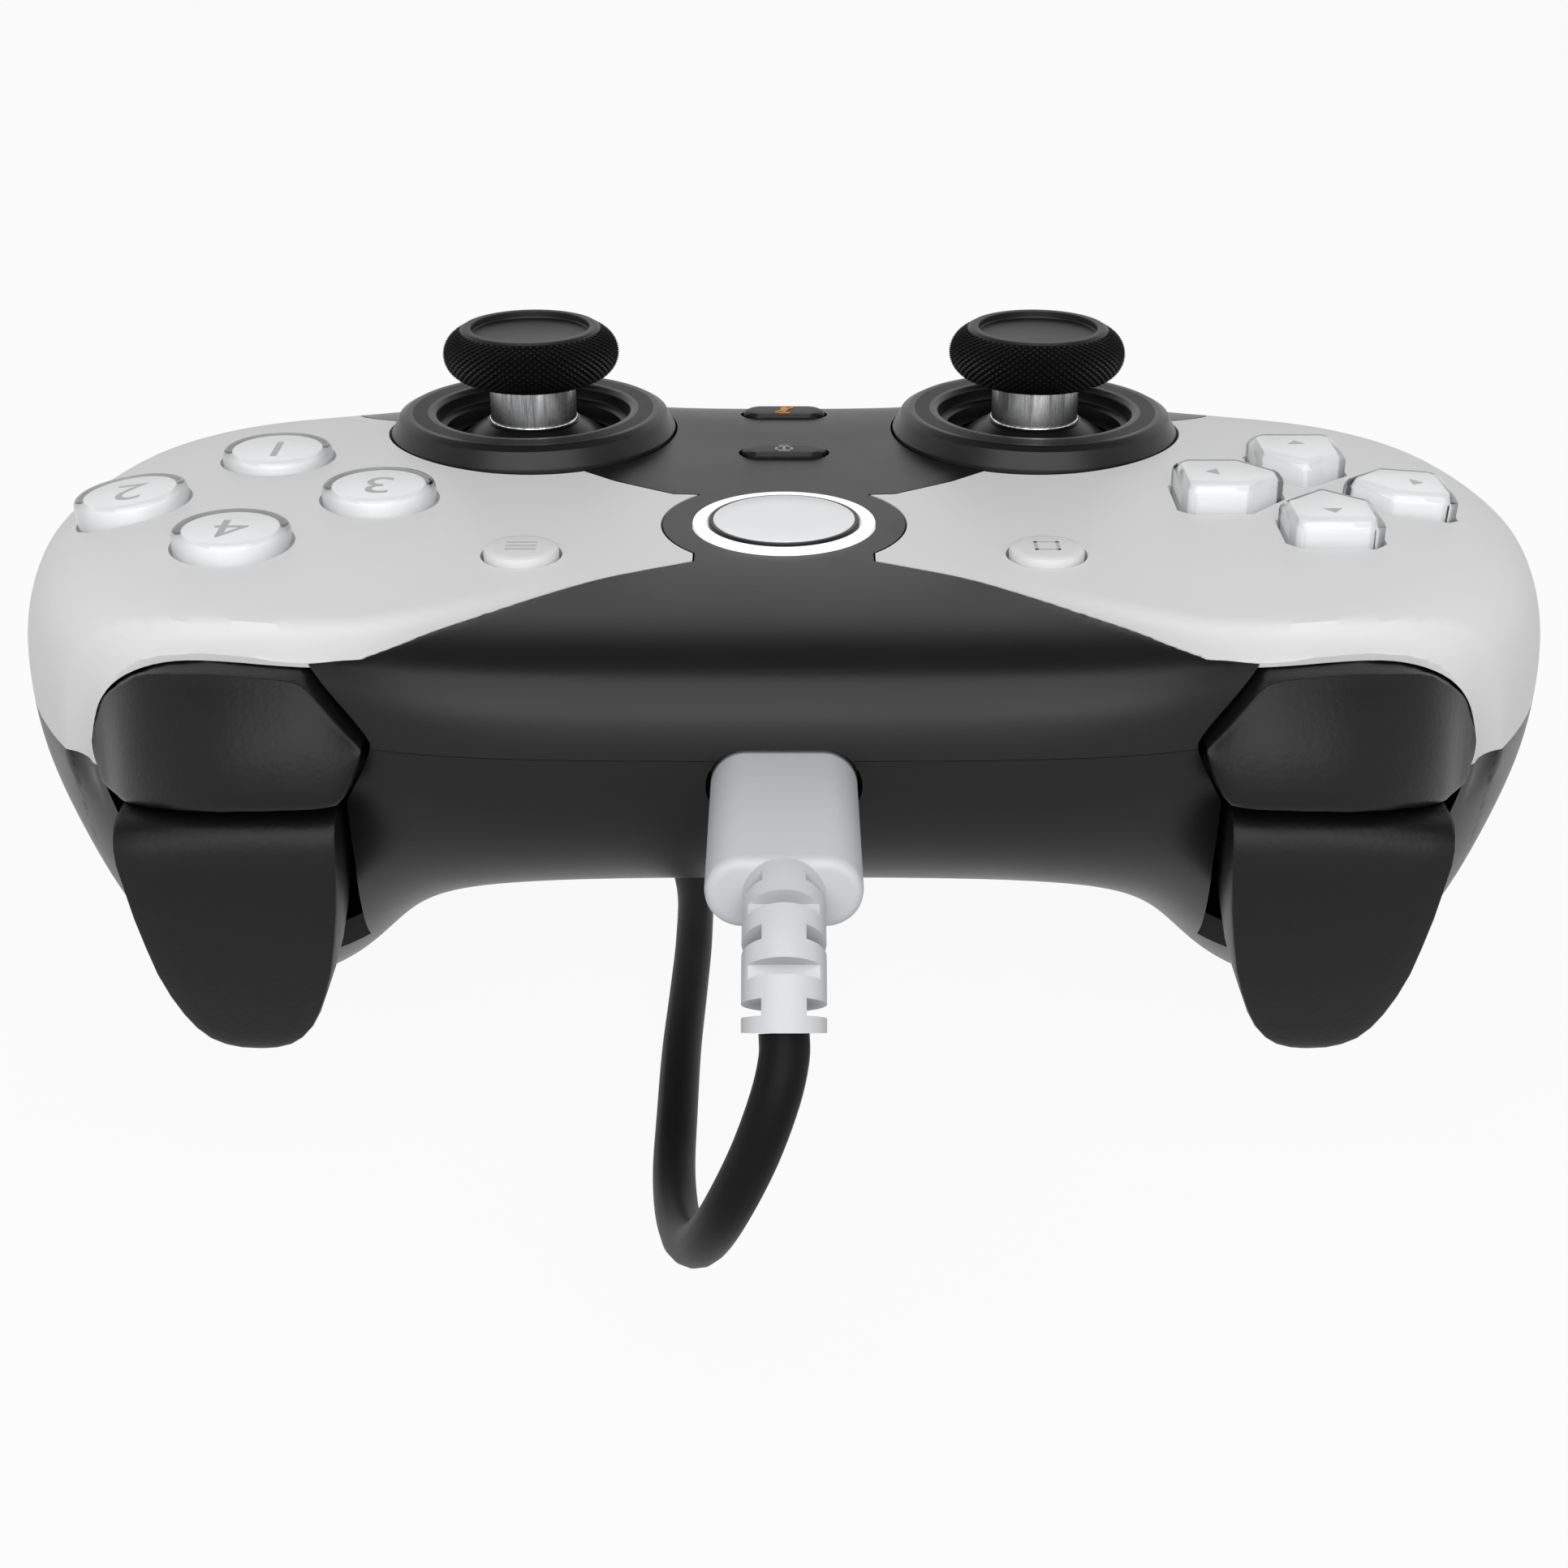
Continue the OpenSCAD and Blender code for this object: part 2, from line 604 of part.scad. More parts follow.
// Shoulders on the +X side, mirrored for the other
trigger_axis = [front_y + 16, face_z - 19];
bumper_pin = [trigger_in + 3.4, front_y + 15.6];
ear_t = 1.5;
ear_front = trigger_axis.x - 3;
// Stations of the trigger: height above its tip, half width, front and rear behind the front
trigger_stations = [[0, 0.8, 5.3, 6.3], [0.4, 2.4, 4.8, 6.9], [1.6, 4.4, 4.3, 7.4], [3.6, 6.2, 3.6, 7.6],
    [6.6, 7.8, 2.8, 8.1], [10.6, 8.9, 1.9, 8.7], [14.6, 9.5, 1.2, 9.5], [19.6, 9.9, 0.7, 10.3],
    [23.8, 10, 0.9, 10.3], [25.2, 9.6, 1.5, 10.2], [25.8, 8.6, 2.7, 9.5]];
trigger_slope = 0.12;
function sloped(p, s) = let (x = (trigger_in + trigger_out) / 2)
    p - [0, 0, trigger_slope * max(0, p.x - x) * s[0] / 26];
function trigger_ring(s) = let (x = (trigger_in + trigger_out) / 2,
    w = s[1] * trigger_w / 20,
    z = trigger_tip + s[0], f = front_y + s[2], r = front_y + s[3], c = min(0.3 * (r - f), 0.4 * w, 2.4),
    ring = [[x - w, f + 1.3 * c, z], [x - w + 0.4 * c, f + 0.4 * c, z], [x - w + 1.3 * c, f, z],
    [x + w - 1.3 * c, f, z], [x + w - 0.4 * c, f + 0.4 * c, z], [x + w, f + 1.3 * c, z],
    [x + w, r - 0.5 * c, z], [x + w - 0.5 * c, r, z], [x - w + 0.5 * c, r, z], [x - w, r - 0.5 * c, z]])
    [for (p = ring) sloped(p, s)];
module trigger_blank() {
    boss_in = trigger_in + 5.5;
    boss_out = trigger_out - 2.7;
    difference() {
        union() {
            skin_over([for (s = trigger_stations) trigger_ring(s)]);
            translate([0, trigger_axis.x, trigger_axis.y]) lying_cylinder(3, boss_in, boss_out);
            translate([boss_in, trigger_axis.x - 7, trigger_axis.y - 1.5]) cube([boss_out - boss_in, 7, 3]);
        }
        translate([0, trigger_axis.x, trigger_axis.y]) lying_cylinder(pin_r + run_gap, 0, far);
    }
}
module trigger_brackets_one() {
    board_top = face_z - board_drop;
    ear_top = bumper_low + 3.6;
    back = pocket_y + 7;
    difference() {
        union() {
            for (x = [trigger_in + 0.2, trigger_out - ear_t - 0.2])
                translate([x, 0, 0]) {
                    translate([0, ear_front, trigger_axis.y - 3])
                        cube([ear_t, pocket_y + 0.3 - ear_front, ear_top - trigger_axis.y + 3]);
                    translate([0, ear_front, board_top]) cube([ear_t, back - ear_front, ear_top - board_top]);
                }
            translate([trigger_in + 0.2, pocket_y + 0.8, board_top])
                cube([trigger_out - trigger_in - 0.4, back - pocket_y - 0.8, 1.6]);
            translate([trigger_in + 0.2, ear_front, ear_top - 1.5]) cube([7, back - ear_front, 1.5]);
            translate([bumper_pin.x, bumper_pin.y, 0]) disc(ear_top - 0.1, bumper_top - 1.4, pin_r);
        }
        translate([0, trigger_axis.x, trigger_axis.y]) lying_cylinder(pin_r, 0, far);
    }
}
module trigger_brackets() {
    color("gray") for (side = [-1, 1]) mirrored(side) trigger_brackets_one();
}
module trigger_pins() {
    color(steel)
        for (side = [-1, 1]) mirrored(side) translate([0, trigger_axis.x, trigger_axis.y])
            lying_cylinder(pin_r, trigger_in + 0.2, trigger_out - 0.2);
}
spring_wire = 0.5;
spring_turns = 3;
spring_l = 3;
module trigger_springs() {
    mean_r = pin_r + 0.9;
    points = [for (i = [0 : 8 * spring_turns]) let (a = 45 * i)
        [spring_l * i / (8 * spring_turns), mean_r * cos(a), mean_r * sin(a)]];
    color(steel)
        for (side = [-1, 1]) mirrored(side)
            translate([trigger_in + ear_t + 0.8, trigger_axis.x, trigger_axis.y])
                tube(points, spring_wire, 6, [1, 0, 0]);
}
// Stations of the bumper: distance from the trigger's inner edge, front, rear, low and high
bumper_stations = [[-1.9, 2.6, 8, 4.2, 5.2], [-1.3, 1.3, 11, 2.4, 5.9], [-0.2, 0.4, 11.6, 0.5, 7.5],
    [2.4, -0.3, 11.6, 0, 9.8], [4.2, -0.5, 11.6, 0, 10.9], [8.2, -0.5, 11.6, -0.2, 11],
    [12.2, 0.2, 11.6, -0.5, 10.9], [14.2, 1, 11.6, -0.8, 10.7], [16.2, 2.2, 11.6, -1.2, 10.3],
    [18, 3.6, 11.6, -1.7, 9.9], [19.6, 5.1, 11.6, -2.2, 9.05], [20.4, 6.2, 11.6, -2.5, 8.5],
    [20.9, 7, 14.5, -2.7, 8.1], [22, 8.8, 15.6, -3.1, 7.2], [23.2, 10.9, 15.8, -3.6, 5.7],
    [24.1, 12.6, 15.9, -3.8, 4.2], [24.8, 13.8, 16, -3.5, 2.6], [25.2, 14.5, 16, -2.5, 1.2],
    [25.45, 14.8, 16, -1.2, 0.4]];
function bumper_ring(s) = let (x = trigger_in + s[0] * trigger_w / 20, f = front_y + s[1], r = front_y + s[2],
    l = bumper_low + s[3], h = bumper_low + s[4], d = h - l, t = min(0.62 * (r - f), 7))
    [[x, r, l], [x, r, h], [x, f + t, h], [x, f + 0.62 * t, h - 0.06 * d], [x, f + 0.3 * t, h - 0.2 * d],
    [x, f + 0.08 * t, h - 0.42 * d], [x, f, h - 0.62 * d], [x, f, l + 0.12 * d],
    [x, f + 0.08 * t, l + 0.03 * d], [x, f + 0.2 * t, l]];
module bumper_blank() {
    difference() {
        union() {
            skin_over([for (s = bumper_stations) bumper_ring(s)]);
            translate([bumper_pin.x, bumper_pin.y, 0]) disc(bumper_low + 4, bumper_top - 1.4, pin_r + 1.3);
            translate([bumper_pin.x - 2.4, front_y + 5, bumper_low + 4])
                cube([4.8, bumper_pin.y - front_y - 5, 3]);
        }
        translate([bumper_pin.x, bumper_pin.y, 0]) disc(0, far, pin_r + run_gap);
    }
}

// Inside
module main_board() {
    shoulder = trigger_out - 0.5;
    outline = [[-11, front_y + 7.5], [11, front_y + 7.5], [11, pocket_y + 0.5], [shoulder, pocket_y + 0.5],
        [shoulder, pocket_y + 7.5], [43, pocket_y + 7.5], [43, 21.5], [-43, 21.5], [-43, pocket_y + 7.5],
        [-shoulder, pocket_y + 7.5], [-shoulder, pocket_y + 0.5], [-11, pocket_y + 0.5]];
    color("darkgreen") difference() {
        translate([0, 0, face_z - board_drop - board_t]) linear_extrude(board_t) polygon(outline);
        for (side = [-1, 1])
            translate([side * middle_screw.x, middle_screw.y, 0]) disc(0, far, screw_r + 3);
    }
}
module button_boards() {
    color("darkgreen")
        for (side = [-1, 1])
            translate([side * cluster_x, cluster_y, face_z - button_board_drop]) disc(-1.2, -0.05, 17);
}
module button_domes() {
    dome_low = face_z - button_board_drop;
    color("lightgray") {
        for (side = [-1, 1])
            translate([side * cluster_x, cluster_y, dome_low]) difference() {
                disc(0, 0.8, 17);
                for (dx = [-1, 1], dy = [-1, 1])
                    translate([dx * post_offset, dy * post_offset, 0]) disc(-1, 2, post_r + 0.3);
            }
        for (p = button_places)
            translate([-cluster_x + p[0].x, cluster_y + p[0].y, dome_low])
                disc(0.7, dome_height(p, button_r), 3);
        for (p = key_places)
            translate([cluster_x + p[0].x, cluster_y + p[0].y, dome_low])
                disc(0.7, dome_height(p, key_l / 2), 3);
    }
}
// A dome ends just below what presses it
function dome_height(p, r) = max(0.9, button_board_drop + flange_top - 2.5 - button_travel - p[1]
    - r * sin(abs(p[2])));
module tact_switches() {
    places = [[0, home_y], [0, share_y], [0, mute_y], [menu_x, menu_y], [-menu_x, menu_y]];
    color("darkgray")
        for (p = places)
            translate([p.x - 3, p.y - 3, face_z - board_drop]) cube([6, 6, board_drop + switch_top]);
}
plug_root = front_y + 1;
plug_end = plug_root - 21.5;
tongue_w = 8.25;
tongue_h = 2.4;
module along_plug(from, to) {
    translate([0, from, face_z - plug_drop]) rotate([90, 0, 0]) linear_extrude(from - to) children();
}
module usb_socket() {
    color(steel) difference() {
        along_plug(plug_root + 8, plug_root + 0.6) pill(tongue_w + 0.8, tongue_h + 0.9);
        along_plug(plug_root + 7, plug_root - 1) pill(tongue_w + 0.1, tongue_h + 0.1);
    }
}
module plug_tongue() {
    color(steel) along_plug(plug_root + 6.5, plug_root) pill(tongue_w, tongue_h);
}
jack_drop = 20;
jack_nose_r = 3;
jack_end = 25.2 * stretch_y;
module headset_jack() {
    color(soft_black) translate([0, 0, face_z - jack_drop]) rotate([-90, 0, 0]) difference() {
        union() {
            disc(jack_end - 12, jack_end, jack_nose_r);
            translate([-3.5, -(jack_drop - board_drop - board_t - 0.1), jack_end - 14])
                cube([7, jack_drop - board_drop - board_t + 3.4, 8.5]);
        }
        disc(jack_end - 13, jack_end + 1, jack_r);
    }
}
module rumble_motors() {
    color(steel)
        for (side = [-1, 1]) mirrored(side) translate(motor_at) {
            lying_cylinder(motor_r, 0, motor_l);
            lying_cylinder(1, -6, 0.1);
        }
}
module weight(side) {
    color("dimgray") mirrored(side) translate(motor_at) difference() {
        intersection() {
            lying_cylinder(motor_r - 1.5, -5.5, -1);
            translate([-far, -far, -far]) cube([2 * far, 2 * far, far + 1.8]);
        }
        lying_cylinder(1 + run_gap, -far, far);
    }
}

// Cable: plug, strain relief, free run, coil and far plug
relief_r = 12.6;
relief_turn = 60;
relief_step = 15;
rib_turn = 7;
// Stretch of the bent strain relief between two angles
module relief_part(from, to, r) {
    translate([0, plug_end, face_z - plug_drop - relief_r]) rotate([0, -90, 0]) rotate([180, 0, 0])
        rotate([0, 0, from]) rotate_extrude(angle = to - from) translate([relief_r, 0]) circle(r);
}
module cable_plug() {
    rib_r = plug_h / 2 + 0.2;
    color("#dcdcdc") {
        along_plug(plug_root - 0.05, plug_end) pill(plug_w, plug_h);
        relief_part(0, relief_turn, cord_d / 2 + 0.6);
        for (a = [relief_step : relief_step : relief_turn])
            relief_part(a - rib_turn, a, rib_r);
    }
}
// The coil lies in four layers, spiralling in and out, then its tail comes down to the table
coil_at = [0, 84];
coil_pitch = 4.5;
coil_low = cord_d / 2 + 0.9;
coil_out = coil_in + coil_pitch * coil_turns;
coil_n = 4 * coil_turns;
tail_n = 0.35;
tail_out = 7;
far_plug_h = 7.8;
loop_rings = 20;
function ease(t) = let (u = min(max(t, 0), 1)) u * u * (3 - 2 * u);
function coil_layer(n) = min(floor(n / coil_turns), 3);
function coil_radius(n) = let (k = coil_layer(n), f = min(n / coil_turns - k, 1))
    (k % 2 == 0 ? coil_out - coil_pitch * coil_turns * f : coil_in + coil_pitch * coil_turns * f)
    + tail_out * ease(2 * (n - coil_n) / tail_n);
function coil_height(n) = coil_low
    + coil_pitch * (ease((n - coil_turns) * 2 + 0.5) + ease((n - 2 * coil_turns) * 2 + 0.5)
    + ease((n - 3 * coil_turns) * 2 + 0.5))
    + (far_plug_h / 2 - coil_low - 3 * coil_pitch) * ease(((n - coil_n) / tail_n - 0.25) / 0.75);
function coil_point(n) = let (a = 180 - 360 * n, r = coil_radius(n))
    [coil_at.x + r * cos(a), coil_at.y + r * sin(a), coil_height(n)];
coil_end = coil_n + tail_n;
coil_rings = round(coil_end * loop_rings);
tail_turn = 90 - 360 * coil_end;
tail_way = [cos(tail_turn), sin(tail_turn), 0];
coil_points = concat([for (i = [0 : coil_rings]) coil_point(coil_end * i / coil_rings)],
    [coil_point(coil_end) + cord_d * tail_way]);
tail_tip = coil_points[len(coil_points) - 1];

// The free run starts at the strain relief, drops to the table and lies under the body
run_start = [0, plug_end - relief_r * sin(relief_turn),
    face_z - plug_drop - relief_r * (1 - cos(relief_turn))];
run_points = concat([run_start, run_start + 2 * [0, -cos(relief_turn), -sin(relief_turn)]], [
    [-0.7, -86.4, 30.2], [-2.3, -87, 25.5], [-4.4, -86, 20], [-6.1, -82.5, 14.8], [-7.4, -77.3, 10.2],
    [-8.7, -70.6, 6.3], [-9.7, -62.6, 3.6], [-10.3, -54, 2.3], [-10.4, -44, 2], [-10.4, -32, 2],
    [-10.1, -20, 2], [-9.9, -8, 2], [-10.3, 4, 2], [-12.6, 15, 2], [-17, 26, 2], [-22, 36, 2],
    [-27, 46, 2], [-31, 56, 2], [-33.2, 66, 2.3], [-33.7, 74, 2.7]],
    [coil_point(0) - [0, cord_d, 0], coil_point(0) - [0, eps, 0]]);

// Closed skin over rings of points that have the same number of corners
module skin_over(rings) {
    n = len(rings);
    m = len(rings[0]);
    points = [for (ring = rings) each ring];
    faces = [for (i = [0 : n - 2], j = [0 : m - 1], h = [0, 1]) let (k = (j + 1) % m,
        a = i * m + j, b = i * m + k, c = a + m, e = b + m) h == 0 ? [a, c, b] : [b, c, e]];
    caps = [for (j = [1 : m - 2]) [0, j, j + 1]];
    ends = [for (j = [1 : m - 2]) (n - 1) * m * [1, 1, 1] + [0, j + 1, j]];
    polyhedron(points, concat(faces, caps, ends), convexity = 10);
}

// Tube of a given diameter along points, with flat ends
function heading(points, i) = let (n = len(points) - 1,
    d = points[min(i + 1, n)] - points[max(i - 1, 0)]) d / norm(d);
function frame_of(t, up) = let (u = cross(up, t), v = u / norm(u)) [v, cross(t, v)];
module tube(points, d, sides, up) {
    skin_over([for (i = [0 : len(points) - 1]) let (f = frame_of(heading(points, i), up))
        [for (j = [0 : sides - 1]) let (a = 360 * (j + 0.5) / sides)
            points[i] + d / 2 * (cos(a) * f[0] + sin(a) * f[1])]]);
}
function path_length(p) = [for (i = 1, s = 0; i <= len(p); s = s + (i < len(p) ? norm(p[i] - p[i - 1]) : 0),
    i = i + 1) if (i == len(p)) s][0];
module cable_run() {
    color(black) tube(run_points, cord_d, 8, [1, 0, 0]);
}
module cable_coil() {
    gaps = [for (i = [0 : coil_rings], j = [i + loop_rings / 2 : 1 : coil_rings])
        norm(coil_points[i] - coil_points[j])];
    echo(least_gap_of_the_coil = min(gaps) - cord_d);
    echo(cable_length = path_length(run_points) + path_length(coil_points));
    color(black) tube(coil_points, cord_d, 6, [0, 0, 1]);
}
tie_t = 0.6;
tie_w = 8;
module coil_tie() {
    near = sqrt(pow(coil_in - cord_d / 2, 2) - pow(tie_w / 2, 2)) - 0.5;
    reach = coil_out + cord_d / 2 + 0.5;
    top = coil_low + 3 * coil_pitch + cord_d / 2 + 0.4;
    color("#303030") translate([coil_at.x, coil_at.y - tie_w / 2, 0]) difference() {
        translate([near - tie_t, 0, 0]) cube([reach - near + 2 * tie_t, tie_w, top + tie_t]);
        translate([near, -1, tie_t]) cube([reach - near, tie_w + 2, top - tie_t]);
    }
}
far_plug_l = 24;
module at_far_plug() {
    translate(tail_tip) rotate([0, 0, tail_turn]) children();
}
module far_plug() {
    color("#dcdcdc") at_far_plug() {
        hull()
            for (x = [8, far_plug_l - 2], y = [-1, 1])
                translate([x, y * 5.7, -far_plug_h / 2]) cylinder(r = 2, h = far_plug_h, $fn = 32);
        lying_cylinder(cord_d / 2 + 1, 0.05, 9);
    }
}
module far_plug_shell() {
    color(steel) at_far_plug() difference() {
        translate([far_plug_l + 0.05, -6, -2.25]) cube([18.5, 12, 4.5]);
        translate([far_plug_l + 2, -5.6, -1.9]) cube([18.5, 11.2, 3.8]);
    }
}

bottom_shell();
center_cover();
left_wing();
right_wing();
stick_collar(1);  // left_stick_collar
stick_collar(-1);  // right_stick_collar
light_ring();
home_button();
menu_button(-1);
menu_button(1);  // view_button
pill_button(share_y);  // share_button
pill_button(mute_y);  // mute_button
face_cap(0);  // south_button
face_cap(1);  // east_button
face_cap(2);  // west_button
face_cap(3);  // north_button
face_core(0);  // south_core
face_core(1);  // east_core
face_core(2);  // west_core
face_core(3);  // north_core
key(0);  // up_key
key(1);  // down_key
key(2);  // left_key
key(3);  // right_key
color(black) bumper_blank();  // left_bumper
color(black) mirrored(-1) bumper_blank();  // right_bumper
color(black) trigger_blank();  // left_trigger
color(black) mirrored(-1) trigger_blank();  // right_trigger
trigger_brackets();
trigger_pins();
trigger_springs();
stick_modules();
yoke(1);  // left_yoke
yoke(-1);  // right_yoke
pivot(1);  // left_pivot
pivot(-1);  // right_pivot
stick_stem(1);  // left_stick_stem
stick_stem(-1);  // right_stick_stem
stick_dome(1);  // left_stick_dome
stick_dome(-1);  // right_stick_dome
stick_cap(1);  // left_stick_cap
stick_cap(-1);  // right_stick_cap
main_board();
button_boards();
button_domes();
tact_switches();
usb_socket();
headset_jack();
rumble_motors();
weight(1);  // left_weight
weight(-1);  // right_weight
shell_screws();
cable_plug();
plug_tongue();
cable_run();
cable_coil();
coil_tie();
far_plug();
far_plug_shell();
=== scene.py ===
"""Wired two-tone gamepad: shells, sticks, buttons, shoulders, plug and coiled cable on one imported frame."""

import math

import bpy
from bpy.props import FloatProperty, FloatVectorProperty, IntProperty, PointerProperty, StringProperty
from mathutils import Matrix, Vector, kdtree


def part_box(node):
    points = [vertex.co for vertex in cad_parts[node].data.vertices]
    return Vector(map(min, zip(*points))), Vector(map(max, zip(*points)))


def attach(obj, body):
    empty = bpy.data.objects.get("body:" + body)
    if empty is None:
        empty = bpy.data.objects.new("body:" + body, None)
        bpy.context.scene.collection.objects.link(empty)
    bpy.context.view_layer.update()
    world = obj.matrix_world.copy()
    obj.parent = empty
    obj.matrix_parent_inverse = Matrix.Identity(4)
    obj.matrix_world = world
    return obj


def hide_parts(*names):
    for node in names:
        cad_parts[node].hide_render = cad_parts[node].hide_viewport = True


bl_info = {
    "name": "Wired Gamepad",
    "version": (1, 0, 0),
    "blender": (4, 5, 0),
    "location": "View3D > Sidebar > Gamepad",
    "description": "Models a wired two-tone gamepad on its packed frame",
    "category": "Add Mesh",
}

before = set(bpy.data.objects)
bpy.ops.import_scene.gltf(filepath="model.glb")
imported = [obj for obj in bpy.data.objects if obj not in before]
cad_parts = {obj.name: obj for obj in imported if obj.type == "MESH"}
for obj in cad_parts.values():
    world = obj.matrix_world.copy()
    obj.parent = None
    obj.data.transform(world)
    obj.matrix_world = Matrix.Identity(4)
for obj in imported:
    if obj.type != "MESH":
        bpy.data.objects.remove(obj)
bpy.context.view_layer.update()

# Sizes are written in millimetres and turned to metres where a mesh is made. FAR, UNDER and OVER lie
# outside the whole pad, so that a cutter which reaches there cuts right through
MM = 0.001
FACE = 53.0
TILT_Z = 44.0
FAR = 150.0
UNDER = -20.0
OVER = 90.0
STICK_AT = (27.2, 12.4)
CLUSTER_AT = (53.0, -11.4)
HOME_AT = (0.0, -17.5)
MENU_AT = (25.0, -26.3)
SHARE_Y = 4.3
MUTE_Y = 18.4
PLUG_Z = 41.0
PLUG_END = -73.0
SIDES = (("left", 1), ("right", -1))

# Control sections of one half of the body: distance from the middle, then twelve corners in y and z,
# from the top front edge over the back and the bottom to the front
MIDDLE = ((-41, 53), (-14, 53.4), (10, 53.7), (26, 54), (29, 46), (27, 32),
          (16, 23.5), (-8, 23), (-30, 23), (-46, 27), (-53.5, 38), (-52, 51))
SECTIONS = (
    (0, MIDDLE),
    (14, MIDDLE),
    (27, ((-41, 53), (-14, 53.4), (14, 53.9), (30, 53.9), (35, 46), (33, 31),
          (20, 23.5), (-6, 22.5), (-30, 22.5), (-46, 26.5), (-53, 38), (-51.5, 51))),
    (36, ((-40, 53), (-13, 53.8), (16, 54.3), (33, 52.1), (40, 42), (38, 27),
          (25, 18), (0, 15), (-26, 17), (-43, 24), (-51, 37), (-50.5, 51))),
    (43, ((-39, 53), (-12, 54.1), (17, 54.4), (36.2, 49.5), (48, 34.2), (47, 18),
          (33, 7), (7, 2), (-18, 5), (-37, 15), (-47, 34), (-48.5, 50.5))),
    (52, ((-38, 53), (-12, 54.1), (16.2, 54.5), (37.4, 47.7), (54, 30.2), (55, 13),
          (42, 1.5), (16, -2.5), (-12, -1.5), (-34, 9), (-44.5, 32), (-47, 50.5))),
    (60, ((-34, 53.2), (-11, 54.2), (15.5, 54), (37.2, 46.7), (53.5, 30.2), (55, 13),
          (42.5, 0.5), (17, -2.5), (-9, -2), (-30, 9), (-41, 32), (-43, 49.5))),
    (66.7, ((-28, 52.2), (-9, 53.5), (15.5, 52.7), (35.7, 44.1), (50, 29.2), (51.5, 14),
            (41, 3), (17, 0), (-8, 1.5), (-25, 11), (-35.5, 31), (-37, 48))),
    (71.5, ((-22, 50.5), (-7, 51.8), (14.5, 50.4), (33.5, 42), (45, 28.7), (46.5, 17),
            (38, 10.5), (16, 9), (-5, 11.5), (-19, 18), (-29, 31), (-30, 46))),
    (75.1, ((-14, 48), (-4, 49.5), (13, 47.4), (29.5, 39.5), (40, 28.5), (41, 20),
            (34, 18), (15, 17), (-2, 19), (-13, 23.5), (-21, 31), (-22, 43.5))),
    (77.5, ((-8, 44.5), (1, 46), (12, 43.8), (24, 37), (31.5, 29.5), (32.5, 24.5),
            (27, 25), (13, 24.5), (2, 26), (-6, 28.5), (-12, 33), (-13, 40))),
    (78.5, ((-2, 40), (2, 41), (7, 40), (12, 37.5), (16, 35), (17, 32),
            (14, 31), (8, 30.5), (2, 31.5), (-2, 33), (-4, 35.5), (-4, 38))),
)

# Joint lines of the shells: edges of the wing in plan, the pocket for bumper and trigger seen from the
# front, and the line between top and bottom seen from the side
WING_FRONT = ((8.6, -27.9), (12.6, -29.9), (17.1, -32.2), (22.7, -36.6), (26.8, -40.1), (30.9, -43),
              (34.2, -45.3), (37.6, -46.4))
WING_TIP = (42.5, -45.9)
WING_BACK = ((44, 60), (45, 42), (49, 29), (47, 19), (40, 15))
WING_INNER = ((27.2, 12.4), (21.4, -1.2), (17.2, -5), (11.2, -8.9), (8.6, -9.1))
NECK_R = 12.0
COLLAR_HOLE_R = 15.6
POCKET = ((39.3, 37.6), (36.5, 43.2), (36.6, 44.5), (37, 49.2), (37.1, 49.9), (37.8, 49.85),
          (42.4, 49.55), (52, 49.4), (56.5, 48.6), (60.7, 46.5), (63.1, 43.8), (64.3, 40.8),
          (65.2, 37.4), (64, 33.5), (62.4, 27), (60.4, 18.8))
# Soft crease on the wing and the edge that it follows, as points in space
CREASE = ((14, -30.4, 53), (18, -31.6, 53), (24, -35.2, 52.9), (30, -38.6, 52.7), (35.5, -40.9, 52.4),
          (38.7, -41.6, 52.2), (43.6, -41.5, 52), (48.6, -41, 51.8), (54.8, -39.8, 51.5),
          (59.1, -38.4, 50.7), (62.3, -37.3, 49.3), (64.9, -36.3, 47.2), (66.7, -35.2, 44.3),
          (67.5, -34.4, 41.8), (68.3, -33.4, 38), (68.6, -32.6, 34))
WING_EDGE = ((14, -30.8, 53), (17.1, -32.2, 53), (22.7, -36.6, 52.8), (26.8, -40.1, 52.5),
             (30.9, -43, 52), (34.2, -45.3, 51.4), (37.6, -46.4, 50.7), (43.3, -45.6, 50),
             (48.1, -44.4, 50.1), (53.9, -42.8, 49.7), (56.5, -41.9, 49.1), (58.8, -41, 48.3),
             (60.7, -40.2, 46.8), (62, -39.5, 45.5), (63.1, -38.9, 43.9), (64.3, -37.8, 40.8),
             (65.2, -36.7, 37.4), (65.4, -36, 34))
COVER_POCKET = (*POCKET[:2], (36.6, 44.7), (41.9, 49.7), (44, 51.7), (60.7, 51.7), *POCKET[-6:])
POCKET_ROOF = POCKET[4:]
POCKET_INNER = ((41.2, -40), (41.2, 12), (40.2, 22), (39.5, 30))
POCKET_FOOT = (60.4, -40)
POCKET_BACK = -33.5
LIP_X = (37, 61)
WEDGE_X = (37, 44)
CENTRE_HALF = 40.0
SEAM_Z = 43.5
SIDE_SEAM_Z = 36.0
GRIP_SEAM = ((20, None), (33, 33.5), (56, 17), (FAR, -62.8))

# Cable route from the strain relief to the coil, then the coil's own sizes
RUN = ((0, -83.912, 34.7), (0, -84.912, 32.968), (-0.7, -86.4, 30.2), (-2.3, -87, 25.5), (-4.4, -86, 20),
       (-6.1, -82.5, 14.8), (-7.4, -77.3, 10.2), (-8.7, -70.6, 6.3), (-9.7, -62.6, 3.6),
       (-10.3, -54, 2.3), (-10.4, -44, 2), (-10.4, -32, 2), (-10.1, -20, 2), (-9.9, -8, 2),
       (-10.3, 4, 2), (-12.6, 15, 2), (-17, 26, 2), (-22, 36, 2), (-27, 46, 2), (-31, 56, 2),
       (-33.2, 66, 2.3), (-33.7, 74, 2.7), (-33.7375, 80, 2.9))
COIL_AT = (0.0, 84.0)
COIL_STEPS = 24
